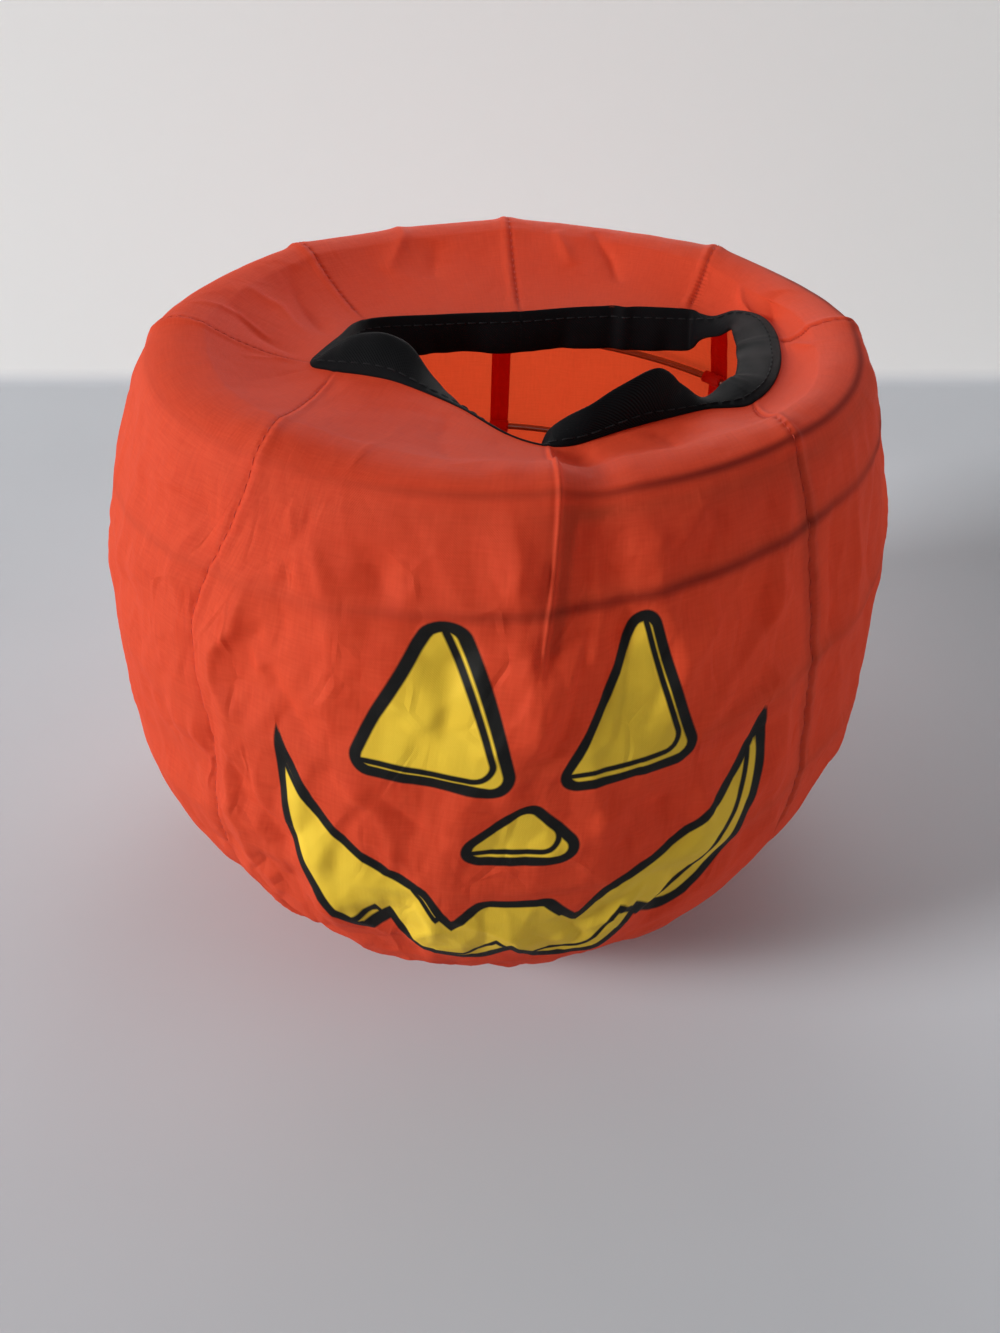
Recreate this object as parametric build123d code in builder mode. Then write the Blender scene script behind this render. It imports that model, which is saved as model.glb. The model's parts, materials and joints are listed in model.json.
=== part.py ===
# Pop-up pumpkin candy pail: a sewn cloth shell held open by a coil of spring wire.
# Millimetres, +Z up. The origin is on the ground under the middle of the belly, and the printed face looks
# along -Y. The pail's axis leans to +X, so the middle of its bottom lies a little to the left of the origin.
# Azimuths are degrees round the pail, 0 at the front and positive towards +X.
import os
from math import cos, hypot, radians, sin, sqrt, tan

from build123d import *

os.makedirs("parts", exist_ok=True)

# Cloth shell: outside sizes along a seam, how far the shoulder leans to +X, and how far a panel swells
# between its seams
BASE_RADIUS = 56.0
BELLY_RADIUS = 98.0
BELLY_HEIGHT = 68.0
SHOULDER_SETBACK = 14.0
SHOULDER_HEIGHT = 157.5
SHOULDER_FILLET = 4.0
SHOULDER_LEAN = 5.0
BELLY_LOBE = 2.5
SHOULDER_LOBE = 0.4
FABRIC = 0.8

# Round bottom
BOTTOM_THICKNESS = 1.0

# Slack top: how wide its cloth is from the shoulder to the oval mouth on each side, and how far it dips
TOP_FRONT = 37.0
TOP_BACK = 47.0
TOP_LEFT = 39.5
TOP_RIGHT = 17.5
MOUTH_DIP = 9.5

# Black binding sewn round the mouth
BAND_WIDTH = 11.0
BAND_THICKNESS = 0.9
BAND_LEAN = 35.0

# Dart sewn into the top of the face panel, at the front
DART_LENGTH = 33.5

# Spring wire: a closed ring at the shoulder, open turns down the wall, a closed ring at the base
WIRE_DIAMETER = 2.0
RING_DROP = 2.0
RING_LIFT = 6.0
RING_PITCH = 5.0
OPEN_TURNS = 4
END_TUCK = 2.0
END_RUN = 9.0

# Seam tapes and the loops on them that the wire runs through
TAPE_WIDTH = 6.0
TAPE_THICKNESS = 0.6
TAPE_FOOT = 4.0
LOOP_WALL = 0.6

# Caps on the two cut ends of the wire
CAP_COVER = 8.4
CAP_WALL = 0.7
CAP_FLOOR = 1.5
CAP_NOSE = 0.6

# Fits
CLOTH_CLEARANCE = 0.3
LOOP_CLEARANCE = 0.4
CAP_CLEARANCE = 0.08
CAP_END_GAP = 0.1

# Cutting plan: an eighth of the round for each gore, and two eighths for the face panel
full_circle = 360.0
gore_angle = full_circle / 8
half_gore = gore_angle / 2
sections_per_gore = 4

lean = SHOULDER_LEAN / SHOULDER_HEIGHT
foot_x = -lean * BELLY_HEIGHT
shoulder_radius = BELLY_RADIUS - SHOULDER_SETBACK
mouth_height = SHOULDER_HEIGHT - MOUTH_DIP
mouth_half_length = shoulder_radius - (TOP_LEFT + TOP_RIGHT) / 2
mouth_half_width = shoulder_radius - (TOP_FRONT + TOP_BACK) / 2
mouth_x = (TOP_LEFT - TOP_RIGHT) / 2
mouth_y = (TOP_FRONT - TOP_BACK) / 2
wire_radius = WIRE_DIAMETER / 2
loop_bore = wire_radius + LOOP_CLEARANCE
loop_radius = loop_bore + LOOP_WALL
tape_inset = FABRIC + CLOTH_CLEARANCE
wire_inset = tape_inset + TAPE_THICKNESS / 2 + loop_radius
ring_top = SHOULDER_HEIGHT - SHOULDER_FILLET - RING_DROP
closed_turns = 2
wire_turns = OPEN_TURNS + closed_turns
open_pitch = (ring_top - RING_LIFT - closed_turns * RING_PITCH) / OPEN_TURNS
quarter_turn = 1 / 4
wire_start = 3 * gore_angle


def meridian(azimuth):
    """Plane at an azimuth through the leaning axis: local x runs level and outwards, local y runs up."""
    angle = radians(azimuth)
    outwards = (sin(angle), -cos(angle), 0)
    normal = (-cos(angle), -sin(angle), lean * cos(angle))
    return Plane(origin=(foot_x, 0, 0), x_dir=outwards, z_dir=normal)


def axis_step(azimuth):
    """Local step on the meridian plane that follows the leaning axis through one millimetre of height."""
    angle = radians(azimuth)
    return Vector(lean * sin(angle), hypot(1, lean * cos(angle)))


def on_meridian(azimuth, distance, height):
    """Local point on the meridian plane at a level distance from the leaning axis and a height."""
    return Vector(distance, 0) + axis_step(azimuth) * height


def arc_radius(reach, rise):
    """Radius of an arc that starts upright and moves inwards by reach over a height of rise."""
    return (reach**2 + rise**2) / (2 * reach)


def seam_point(height, inset):
    """Distance from the axis and height of a point that lies inset inside the seam's outer face."""
    bend = arc_radius(BELLY_RADIUS - BASE_RADIUS, BELLY_HEIGHT)
    if height > BELLY_HEIGHT:
        bend = arc_radius(SHOULDER_SETBACK, SHOULDER_HEIGHT - BELLY_HEIGHT)
    distance = BELLY_RADIUS - bend + sqrt((bend - inset) ** 2 - (height - BELLY_HEIGHT) ** 2)
    return distance, height


def mouth_radius(azimuth):
    """Distance from the axis to the mouth's oval edge, where the ray at that azimuth meets it."""
    ray_x = sin(radians(azimuth)) / mouth_half_length
    ray_y = -cos(radians(azimuth)) / mouth_half_width
    shift_x = mouth_x / mouth_half_length
    shift_y = mouth_y / mouth_half_width
    square = ray_x**2 + ray_y**2
    along = ray_x * shift_x + ray_y * shift_y
    short = shift_x**2 + shift_y**2 - 1
    return (along + sqrt(along**2 - square * short)) / square


def swell(azimuth):
    """Share of the full swell at an azimuth: none at a seam, all of it midway between two seams."""
    return 1 - ((azimuth % gore_angle - half_gore) / half_gore) ** 2


def wall_section(azimuth):
    """Thin upright section of the cloth at an azimuth: bottom edge, belly, shoulder, mouth edge."""
    below_dart = abs(azimuth) < half_gore
    belly_swell = BELLY_LOBE if below_dart else BELLY_LOBE * swell(azimuth)
    belly = on_meridian(azimuth, BELLY_RADIUS + belly_swell, BELLY_HEIGHT)
    shoulder = on_meridian(azimuth, shoulder_radius + SHOULDER_LOBE * swell(azimuth), SHOULDER_HEIGHT)
    with BuildSketch(meridian(azimuth)) as section:
        with BuildLine():
            with BuildLine() as outside:
                TangentArc(belly, (BASE_RADIUS, 0), tangent=axis_step(azimuth) * -1)
                TangentArc(belly, shoulder, tangent=axis_step(azimuth))
                Line(shoulder, on_meridian(azimuth, mouth_radius(azimuth), mouth_height))
                fillet(outside.vertices().sort_by(Axis.Y)[-1], SHOULDER_FILLET)
            offset(outside.line, amount=FABRIC, side=Side.RIGHT)
        make_face()
    return section.sketch


def panel_sections(first_seam, last_seam):
    """Sections of a panel from one seam to another; seams are numbered round from the front."""
    steps = range(first_seam * sections_per_gore, last_seam * sections_per_gore + 1)
    return [wall_section(step * gore_angle / sections_per_gore) for step in steps]


# Face panel: two gores wide, from the seam on its left to the seam on its right
with BuildPart() as face_panel:
    loft(panel_sections(-1, 1))
face_panel.part.label = "face_panel"
export_step(face_panel.part, "parts/face_panel.step")

# Gores, in order round the pail from the face panel's right edge to its left edge
gore_names = (
    "gore_right_front",
    "gore_right_rear",
    "gore_right_back",
    "gore_left_back",
    "gore_left_rear",
    "gore_left_front",
)
for seam, name in enumerate(gore_names, start=1):
    with BuildPart() as gore:
        loft(panel_sections(seam, seam + 1))
    gore.part.label = name
    export_step(gore.part, f"parts/{name}.step")

# Round bottom inside the lower edges of the panels
with BuildPart() as bottom:
    with BuildSketch():
        with Locations((foot_x, 0)):
            Circle(BASE_RADIUS - FABRIC - CLOTH_CLEARANCE)
    extrude(amount=BOTTOM_THICKNESS)
bottom.part.label = "bottom"
export_step(bottom.part, "parts/bottom.step")

# Mouth binding: an oval band that hangs from the mouth edge and leans inwards
band_drop = BAND_WIDTH * cos(radians(BAND_LEAN))


def band_oval(depth, inset):
    """Oval of the band at a depth below the mouth edge, inset from the band's outer face."""
    shrink = CLOTH_CLEARANCE + inset + depth * tan(radians(BAND_LEAN))
    height = mouth_height - depth
    with BuildSketch(Plane.XY.offset(height)) as oval:
        with Locations((foot_x + lean * height + mouth_x, mouth_y)):
            Ellipse(mouth_half_length - shrink, mouth_half_width - shrink)
    return oval.sketch


with BuildPart() as mouth_band:
    loft([band_oval(0, 0), band_oval(band_drop, 0)])
    loft([band_oval(0, BAND_THICKNESS), band_oval(band_drop, BAND_THICKNESS)], mode=Mode.SUBTRACT)
mouth_band.part.label = "mouth_band"
export_step(mouth_band.part, "parts/mouth_band.step")


# Spring wire
def wire_height(turn):
    """Height of the wire's centre after so many turns: closed ring, open turns, closed ring."""
    open_part = min(max(turn - 1, 0), OPEN_TURNS)
    closed_part = turn - open_part
    return ring_top - closed_part * RING_PITCH - open_part * open_pitch


def wire_centre(turn):
    """Centre of the wire after so many turns from its upper end; the two end quarters tuck inwards."""
    to_end = min(turn, wire_turns - turn)
    tuck = END_TUCK * max(1 - to_end / quarter_turn, 0) ** 2
    distance, height = seam_point(wire_height(turn), wire_inset)
    angle = radians(wire_start - full_circle * turn)
    axis_x = foot_x + lean * height
    return Vector(axis_x + (distance - tuck) * sin(angle), -(distance - tuck) * cos(angle), height)


def wire_heading(turn):
    """Direction of the wire after so many turns, from the points a little before and after."""
    step = quarter_turn / 4
    return (wire_centre(turn + step) - wire_centre(turn - step)).normalized()


def biarc(turn):
    """Middle point and heading of the two equal-reach arcs that make the quarter turn after turn."""
    start = wire_centre(turn)
    end = wire_centre(turn + quarter_turn)
    start_heading = wire_heading(turn)
    end_heading = wire_heading(turn + quarter_turn)
    span = end - start
    both = span.dot(start_heading + end_heading)
    bend = 2 * (1 - start_heading.dot(end_heading))
    reach = (sqrt(both**2 + bend * span.dot(span)) - both) / bend
    near = start + start_heading * reach
    far = end - end_heading * reach
    return (near + far) * 0.5, (far - near).normalized()


quarter_starts = [quarter * quarter_turn for quarter in range(wire_turns * 4)]
wire_tip = wire_centre(0) - wire_heading(0) * END_RUN
wire_tail = wire_centre(wire_turns) + wire_heading(wire_turns) * END_RUN

with BuildPart() as spring_wire:
    with BuildLine() as wire_path:
        Line(wire_tip, wire_centre(0))
        for turn in quarter_starts:
            middle, middle_heading = biarc(turn)
            TangentArc(wire_centre(turn), middle, tangent=wire_heading(turn))
            TangentArc(middle, wire_centre(turn + quarter_turn), tangent=middle_heading)
        Line(wire_centre(wire_turns), wire_tail)
    with BuildSketch(Plane(origin=wire_tip, z_dir=wire_heading(0))):
        Circle(wire_radius)
    sweep()
spring_wire.part.label = "spring_wire"
export_step(spring_wire.part, "parts/spring_wire.step")

# Least gap of the wire to itself, measured on points along its centre line
samples_per_turn = 32
samples = [wire_centre(index / samples_per_turn) for index in range(wire_turns * samples_per_turn + 1)]
gaps = []
for index, point in enumerate(samples):
    for other in samples[index + samples_per_turn // 2 :]:
        gaps.append((point - other).length - WIRE_DIAMETER)
print(f"wire: length {wire_path.wire().length:.0f} mm, least gap to itself {min(gaps):.2f} mm")

# Seam tapes in order round the pail from the front, where a short tape backs the dart
tape_names = (
    "dart_tape",
    "seam_tape_front_right",
    "seam_tape_right",
    "seam_tape_rear_right",
    "seam_tape_rear",
    "seam_tape_rear_left",
    "seam_tape_left",
    "seam_tape_front_left",
)

# Where the wire crosses the seams, after each eighth of a turn; its two loose end quarters are free
crossings = {}
for turn in quarter_starts:
    for at_turn, (point, heading) in (
        (turn, (wire_centre(turn), wire_heading(turn))),
        (turn + quarter_turn / 2, biarc(turn)),
    ):
        seam = round((wire_start - full_circle * at_turn) / gore_angle) % len(tape_names)
        plane = meridian(seam * gore_angle)
        beyond = (point - plane.origin).dot(plane.z_dir)
        crossing = point - heading * (beyond / heading.dot(plane.z_dir))
        if quarter_turn <= at_turn <= wire_turns - quarter_turn:
            crossings.setdefault(seam, []).append(plane.to_local_coords(crossing))

# Seam tapes: each follows its seam inside the cloth and carries the loops that hold the wire
tape_top = ring_top + wire_radius
dart_foot = SHOULDER_HEIGHT - DART_LENGTH
for seam, name in enumerate(tape_names):
    foot = dart_foot if name == "dart_tape" else TAPE_FOOT
    azimuth = seam * gore_angle
    heights = (tape_top, (foot + tape_top) / 2, BELLY_HEIGHT, foot)
    top, midway, waist, low = [on_meridian(azimuth, *seam_point(height, tape_inset)) for height in heights]
    loops = [crossing for crossing in crossings[seam] if crossing.Y > foot]
    with BuildPart() as tape:
        with BuildSketch(meridian(azimuth)):
            with BuildLine():
                with BuildLine() as seam_line:
                    if foot < BELLY_HEIGHT:
                        TangentArc(waist, low, tangent=axis_step(azimuth) * -1)
                        TangentArc(waist, top, tangent=axis_step(azimuth))
                    else:
                        ThreePointArc(top, midway, low)
                offset(seam_line.line, amount=TAPE_THICKNESS, side=Side.RIGHT)
            make_face()
            with Locations(loops):
                Circle(loop_radius)
            with Locations(loops):
                Circle(loop_bore, mode=Mode.SUBTRACT)
        extrude(amount=TAPE_WIDTH / 2, both=True)
    tape.part.label = name
    export_step(tape.part, f"parts/{name}.step")

# Wire end caps: blind sleeves with a rounded nose over the straight end runs
cap_bore = wire_radius + CAP_CLEARANCE
cap_radius = cap_bore + CAP_WALL
cap_depth = CAP_COVER + CAP_END_GAP
cap_length = cap_depth + CAP_FLOOR
wire_ends = {
    "wire_cap_upper": (wire_tip, wire_heading(0) * -1),
    "wire_cap_lower": (wire_tail, wire_heading(wire_turns)),
}
for name, (end, outwards) in wire_ends.items():
    with BuildPart() as cap:
        with BuildSketch(Plane(origin=end - outwards * CAP_COVER, x_dir=outwards, z_dir=(0, 0, 1))):
            with BuildLine():
                Polyline((cap_length - CAP_NOSE, cap_radius), (0, cap_radius), (0, cap_bore))
                Polyline((0, cap_bore), (cap_depth, cap_bore), (cap_depth, 0), (cap_length, 0))
                Line((cap_length, 0), (cap_length, cap_radius - CAP_NOSE))
                nose_start = (cap_length, cap_radius - CAP_NOSE)
                TangentArc(nose_start, (cap_length - CAP_NOSE, cap_radius), tangent=(0, 1))
            make_face()
        revolve(axis=Axis(end, outwards))
    cap.part.label = name
    export_step(cap.part, f"parts/{name}.step")
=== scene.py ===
"""Looks of a pop-up pumpkin pail: thin sewn cloth held open by a spiral of spring wire.

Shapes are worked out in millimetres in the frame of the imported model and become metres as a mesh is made.
Azimuths are degrees round the pail, 0 at the printed front and positive towards +X. A place on the cloth is
an azimuth and a row: rows 0 to 1 climb the wall, 1 to 2 turn over the top ring, 2 to 3 cross to the mouth.
"""
import json
import logging
from dataclasses import dataclass, field
from enum import Enum

import bmesh
import bpy
import numpy as np
from mathutils import Euler, Matrix, Vector

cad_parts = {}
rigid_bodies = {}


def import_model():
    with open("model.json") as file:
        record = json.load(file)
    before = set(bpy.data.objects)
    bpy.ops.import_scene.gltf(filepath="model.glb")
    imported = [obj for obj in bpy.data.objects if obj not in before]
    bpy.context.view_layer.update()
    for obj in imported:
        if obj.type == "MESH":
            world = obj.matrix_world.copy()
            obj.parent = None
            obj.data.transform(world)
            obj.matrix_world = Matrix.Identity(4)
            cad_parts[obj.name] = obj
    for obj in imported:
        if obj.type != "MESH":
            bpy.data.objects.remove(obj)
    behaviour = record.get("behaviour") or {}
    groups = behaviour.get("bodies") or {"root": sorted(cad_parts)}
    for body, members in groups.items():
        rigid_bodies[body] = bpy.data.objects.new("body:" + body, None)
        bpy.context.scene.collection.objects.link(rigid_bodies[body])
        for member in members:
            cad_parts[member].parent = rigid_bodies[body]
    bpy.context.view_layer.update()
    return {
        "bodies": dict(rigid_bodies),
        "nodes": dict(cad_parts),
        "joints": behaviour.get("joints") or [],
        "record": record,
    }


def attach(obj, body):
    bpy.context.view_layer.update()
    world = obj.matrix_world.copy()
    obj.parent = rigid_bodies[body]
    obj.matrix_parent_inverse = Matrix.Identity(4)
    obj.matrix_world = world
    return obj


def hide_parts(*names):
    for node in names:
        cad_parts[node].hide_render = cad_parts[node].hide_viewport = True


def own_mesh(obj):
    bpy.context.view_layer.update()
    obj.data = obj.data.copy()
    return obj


logging.basicConfig(level=logging.INFO, format="%(message)s")
log = logging.getLogger("pail")

Array = np.ndarray
Place = tuple[float, float]
Point = tuple[float, float, float]
Colour = tuple[float, float, float, float]

MM = 0.001
BELLY_HEIGHT = 68.0
SHOULDER_HEIGHT = 157.5
SHOULDER_LEAN = 5.0
LEAN = SHOULDER_LEAN / SHOULDER_HEIGHT
GORE = 45.0
CLOTH_UV = "cloth"
# Names of the stored painted shade: the wire's shadow seen through the cloth, and shade along the seams.
WIRE_SHADE = "wire_shade"
SEAM_SHADE = "seam_shade"
PRINT_SHAPE = "print_shape"
PRINT_CUT = "print_cut"


class Body(Enum):
    """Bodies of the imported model."""

    PAIL = "pail"
    MOUTH = "mouth"


class Slot(Enum):
    """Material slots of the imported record."""

    ORANGE_CLOTH = "orange_cloth"
    PRINTED_CLOTH = "printed_cloth"
    SEAM_TAPE = "seam_tape"
    BLACK_BINDING = "black_binding"
    SPRING_STEEL = "spring_steel"
    BLACK_VINYL = "black_vinyl"


# Number fields over points


def smooth_step(low: float, high: float, value: Array) -> Array:
    """Eased ramp from 0 at low to 1 at high."""
    share = np.clip((value - low) / (high - low), 0, 1)
    return share * share * (3 - 2 * share)


def bell(distance: Array, width: float | Array) -> Array:
    """Bell curve that is 1 at no distance and falls off over width."""
    return np.exp(-((distance / width) ** 2))


def wrap(azimuth: Array) -> Array:
    """Azimuths brought into the range from -180 to 180."""
    return (np.asarray(azimuth, float) + 180) % 360 - 180


def under_dart(azimuth: Array) -> Array:
    """Whether places lie nearer to the dart at the front than to another seam."""
    return np.abs(wrap(azimuth)) < GORE / 2


def lattice_hash(cells: Array, seed: int) -> Array:
    """Repeatable numbers from 0 to 1 for the whole-number cells of a lattice.

    Args:
        cells: whole numbers, three to a cell, in the last axis.
        seed: picks one of many number fields.

    Returns:
        One number for each cell, mixed from its three indices by multiplying and shifting.
    """
    whole = cells.astype(np.int64).astype(np.uint32)
    mixed = whole[..., 0] * np.uint32(374761393) + whole[..., 1] * np.uint32(668265263)
    mixed = mixed + whole[..., 2] * np.uint32(2246822519) + np.uint32(seed * 3266489 + 12345)
    mixed = (mixed ^ (mixed >> np.uint32(13))) * np.uint32(1274126177)
    mixed = (mixed ^ (mixed >> np.uint32(16))) * np.uint32(2654435761)
    return (mixed ^ (mixed >> np.uint32(15))) / 2.0**32


def smooth_noise(points: Array, seed: int) -> Array:
    """Soft noise from -1 to 1: lattice numbers blended over the eight corners of each cell."""
    cell = np.floor(points)
    share = points - cell
    share = share * share * (3 - 2 * share)
    total = np.zeros(points.shape[:-1])
    for corner in np.ndindex(2, 2, 2):
        step = np.array(corner)
        weight = np.prod(np.where(step == 1, share, 1 - share), axis=-1)
        total += weight * lattice_hash(cell + step, seed)
    return 2 * total - 1


def facets(points: Array, seed: int) -> Array:
    """Crumpled facets: the squared distance to the nearest of one random dot per cell.

    The field is smooth inside each dot's region and has a sharp crease where two regions meet.

    Args:
        points: places, already scaled so that a cell is one unit.
        seed: picks the set of dots.

    Returns:
        Field values, about 0 at a dot and up to about 1 at the creases.
    """
    cell = np.floor(points)
    nearest = np.full(points.shape[:-1], 9.0)
    for near in np.ndindex(3, 3, 3):
        dot = cell + np.array(near) - 1
        offset = np.stack([lattice_hash(dot, seed + axis) for axis in range(3)], axis=-1)
        nearest = np.minimum(nearest, ((dot + offset - points) ** 2).sum(axis=-1))
    return nearest


def closed_spline(keys: Array, values: Array, at: Array) -> Array:
    """Closed smooth curve through values at rising azimuth keys.

    Each span is a cubic whose slope at a key is that of the chord between the keys either side of it.

    Args:
        keys: rising azimuths over less than a full turn.
        values: one row of numbers for each key.
        at: azimuths to read.

    Returns:
        One row of numbers for each azimuth.
    """
    around = np.concatenate((keys[-2:] - 360, keys, keys[:2] + 360))
    rows = np.concatenate((values[-2:], values, values[:2]))
    slope = np.zeros_like(rows)
    slope[1:-1] = (rows[2:] - rows[:-2]) / (around[2:] - around[:-2])[:, None]
    turned = (np.asarray(at, float) - keys[0]) % 360 + keys[0]
    span = np.clip(np.searchsorted(around, turned, side="right") - 1, 1, len(around) - 3)
    width = around[span + 1] - around[span]
    t = ((turned - around[span]) / width)[..., None]
    run = width[..., None]
    start = (2 * t**3 - 3 * t**2 + 1) * rows[span] + (t**3 - 2 * t**2 + t) * run * slope[span]
    end = (3 * t**2 - 2 * t**3) * rows[span + 1] + (t**3 - t**2) * run * slope[span + 1]
    return start + end


def unit(vectors: Array) -> Array:
    """Vectors of length one."""
    return vectors / np.maximum(np.linalg.norm(vectors, axis=-1, keepdims=True), 1e-9)


def ring_points(azimuth: Array, radius: Array, height: Array) -> Array:
    """Points at an azimuth, a distance from the axis and a height."""
    angle = np.radians(azimuth)
    axes = np.broadcast_arrays(radius * np.sin(angle), -radius * np.cos(angle), height)
    return np.stack(axes, axis=-1)


# Meshes


def mesh_piece(
    name: str, points: Array, faces: Array, uv: Array | None = None, lean: float = LEAN
) -> bpy.types.Object:
    """Object at the origin from points in millimetres.

    Args:
        name: the piece's name.
        points: corners, one row each.
        faces: corner numbers, four to a row.
        uv: places on the cloth in metres, one row for each corner.
        lean: how far the points move towards +X for each millimetre above the belly.

    Returns:
        The linked object, shaded smooth.
    """
    points = points + (points[:, 2:] - BELLY_HEIGHT) * (lean, 0, 0)
    mesh = bpy.data.meshes.new(name)
    mesh.vertices.add(len(points))
    mesh.vertices.foreach_set("co", (points * MM).astype(np.float32).ravel())
    mesh.loops.add(faces.size)
    mesh.loops.foreach_set("vertex_index", faces.astype(np.int32).ravel())
    mesh.polygons.add(len(faces))
    mesh.polygons.foreach_set("loop_start", np.arange(0, faces.size, faces.shape[1], dtype=np.int32))
    mesh.polygons.foreach_set("use_smooth", np.ones(len(faces), bool))
    if uv is not None:
        layer = mesh.uv_layers.new(name=CLOTH_UV)
        layer.data.foreach_set("uv", uv[faces.ravel()].astype(np.float32).ravel())
    mesh.update(calc_edges=True)
    mesh.validate()
    made = bpy.data.objects.new(name, mesh)
    bpy.context.scene.collection.objects.link(made)
    return made


def grid_faces(rows: int, columns: int, close_columns: bool = False) -> Array:
    """Corner numbers of the four-sided faces of a grid of points, row by row.

    Args:
        rows: number of rows of points.
        columns: number of points in a row.
        close_columns: whether the last column joins the first.

    Returns:
        Faces that point along columns times rows.
    """
    number = np.arange(rows * columns).reshape(rows, columns)
    right = np.roll(number, -1, axis=1)
    last = columns if close_columns else columns - 1
    corners = (number[:-1, :last], right[:-1, :last], right[1:, :last], number[1:, :last])
    return np.stack([corner.ravel() for corner in corners], axis=-1)


def tube(path: Array, radius: Array, sides: int, aside: Array) -> tuple[Array, Array]:
    """Round tube along a path, closed at both ends by shrinking its end rings to a point.

    Args:
        path: centre points.
        radius: radius at each point.
        sides: points in each ring.
        aside: a direction at each point that the ring starts from.

    Returns:
        Points and faces.
    """
    ahead = unit(np.gradient(path, axis=0))
    out = unit(aside - ahead * (aside * ahead).sum(axis=-1, keepdims=True))
    across = np.cross(ahead, out)
    path = np.concatenate((path[:1], path, path[-1:]))
    ends = np.concatenate(([1e-4], radius, [1e-4]))
    out = np.concatenate((out[:1], out, out[-1:]))
    across = np.concatenate((across[:1], across, across[-1:]))
    turn = np.linspace(0, 2 * np.pi, sides, endpoint=False)
    rim = np.cos(turn)[None, :, None] * out[:, None] + np.sin(turn)[None, :, None] * across[:, None]
    rings = path[:, None] + rim * ends[:, None, None]
    return rings.reshape(-1, 3), grid_faces(len(path), sides, close_columns=True)


def add_attribute(piece: bpy.types.Object, name: str, values: Array) -> None:
    """Stores one number for each corner of a piece's mesh."""
    layer = piece.data.attributes.new(name, "FLOAT", "POINT")
    layer.data.foreach_set("value", values.astype(np.float32).ravel())


# Shaders


class Socket:
    """An output socket whose sums and products add Math nodes."""

    def __init__(self, shader: "Shader", socket: bpy.types.NodeSocket) -> None:
        """Keeps the socket and the shader that it belongs to."""
        self.shader = shader
        self.socket = socket

    def __add__(self, other: "Socket | float") -> "Socket":
        """Sum."""
        return self.shader.math("ADD", self, other)

    def __sub__(self, other: "Socket | float") -> "Socket":
        """Difference."""
        return self.shader.math("SUBTRACT", self, other)

    def __rsub__(self, other: float) -> "Socket":
        """Difference from a number."""
        return self.shader.math("SUBTRACT", other, self)

    def __mul__(self, other: "Socket | float") -> "Socket":
        """Product."""
        return self.shader.math("MULTIPLY", self, other)

    def sine(self) -> "Socket":
        """Sine of an angle in radians."""
        return self.shader.math("SINE", self, 0.0)

    def size(self) -> "Socket":
        """Value without its sign."""
        return self.shader.math("ABSOLUTE", self, 0.0)

    def axis(self, number: int) -> "Socket":
        """One part of a place: 0 for X, 1 for Y and 2 for Z."""
        return self.shader.node("SeparateXYZ", {}, {0: self}, number)

    def ramp(self, low: float, high: float, first: float, last: float) -> "Socket":
        """Straight change from first, up to the value low, to last, from the value high on."""
        return self.shader.node("MapRange", {"clamp": True}, {0: self, 1: low, 2: high, 3: first, 4: last})

    def inside(self, edge: float) -> "Socket":
        """Mask of a signed distance: 1 inside, 0 outside, blended over edge."""
        return self.ramp(-edge, edge, 1.0, 0.0)


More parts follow.
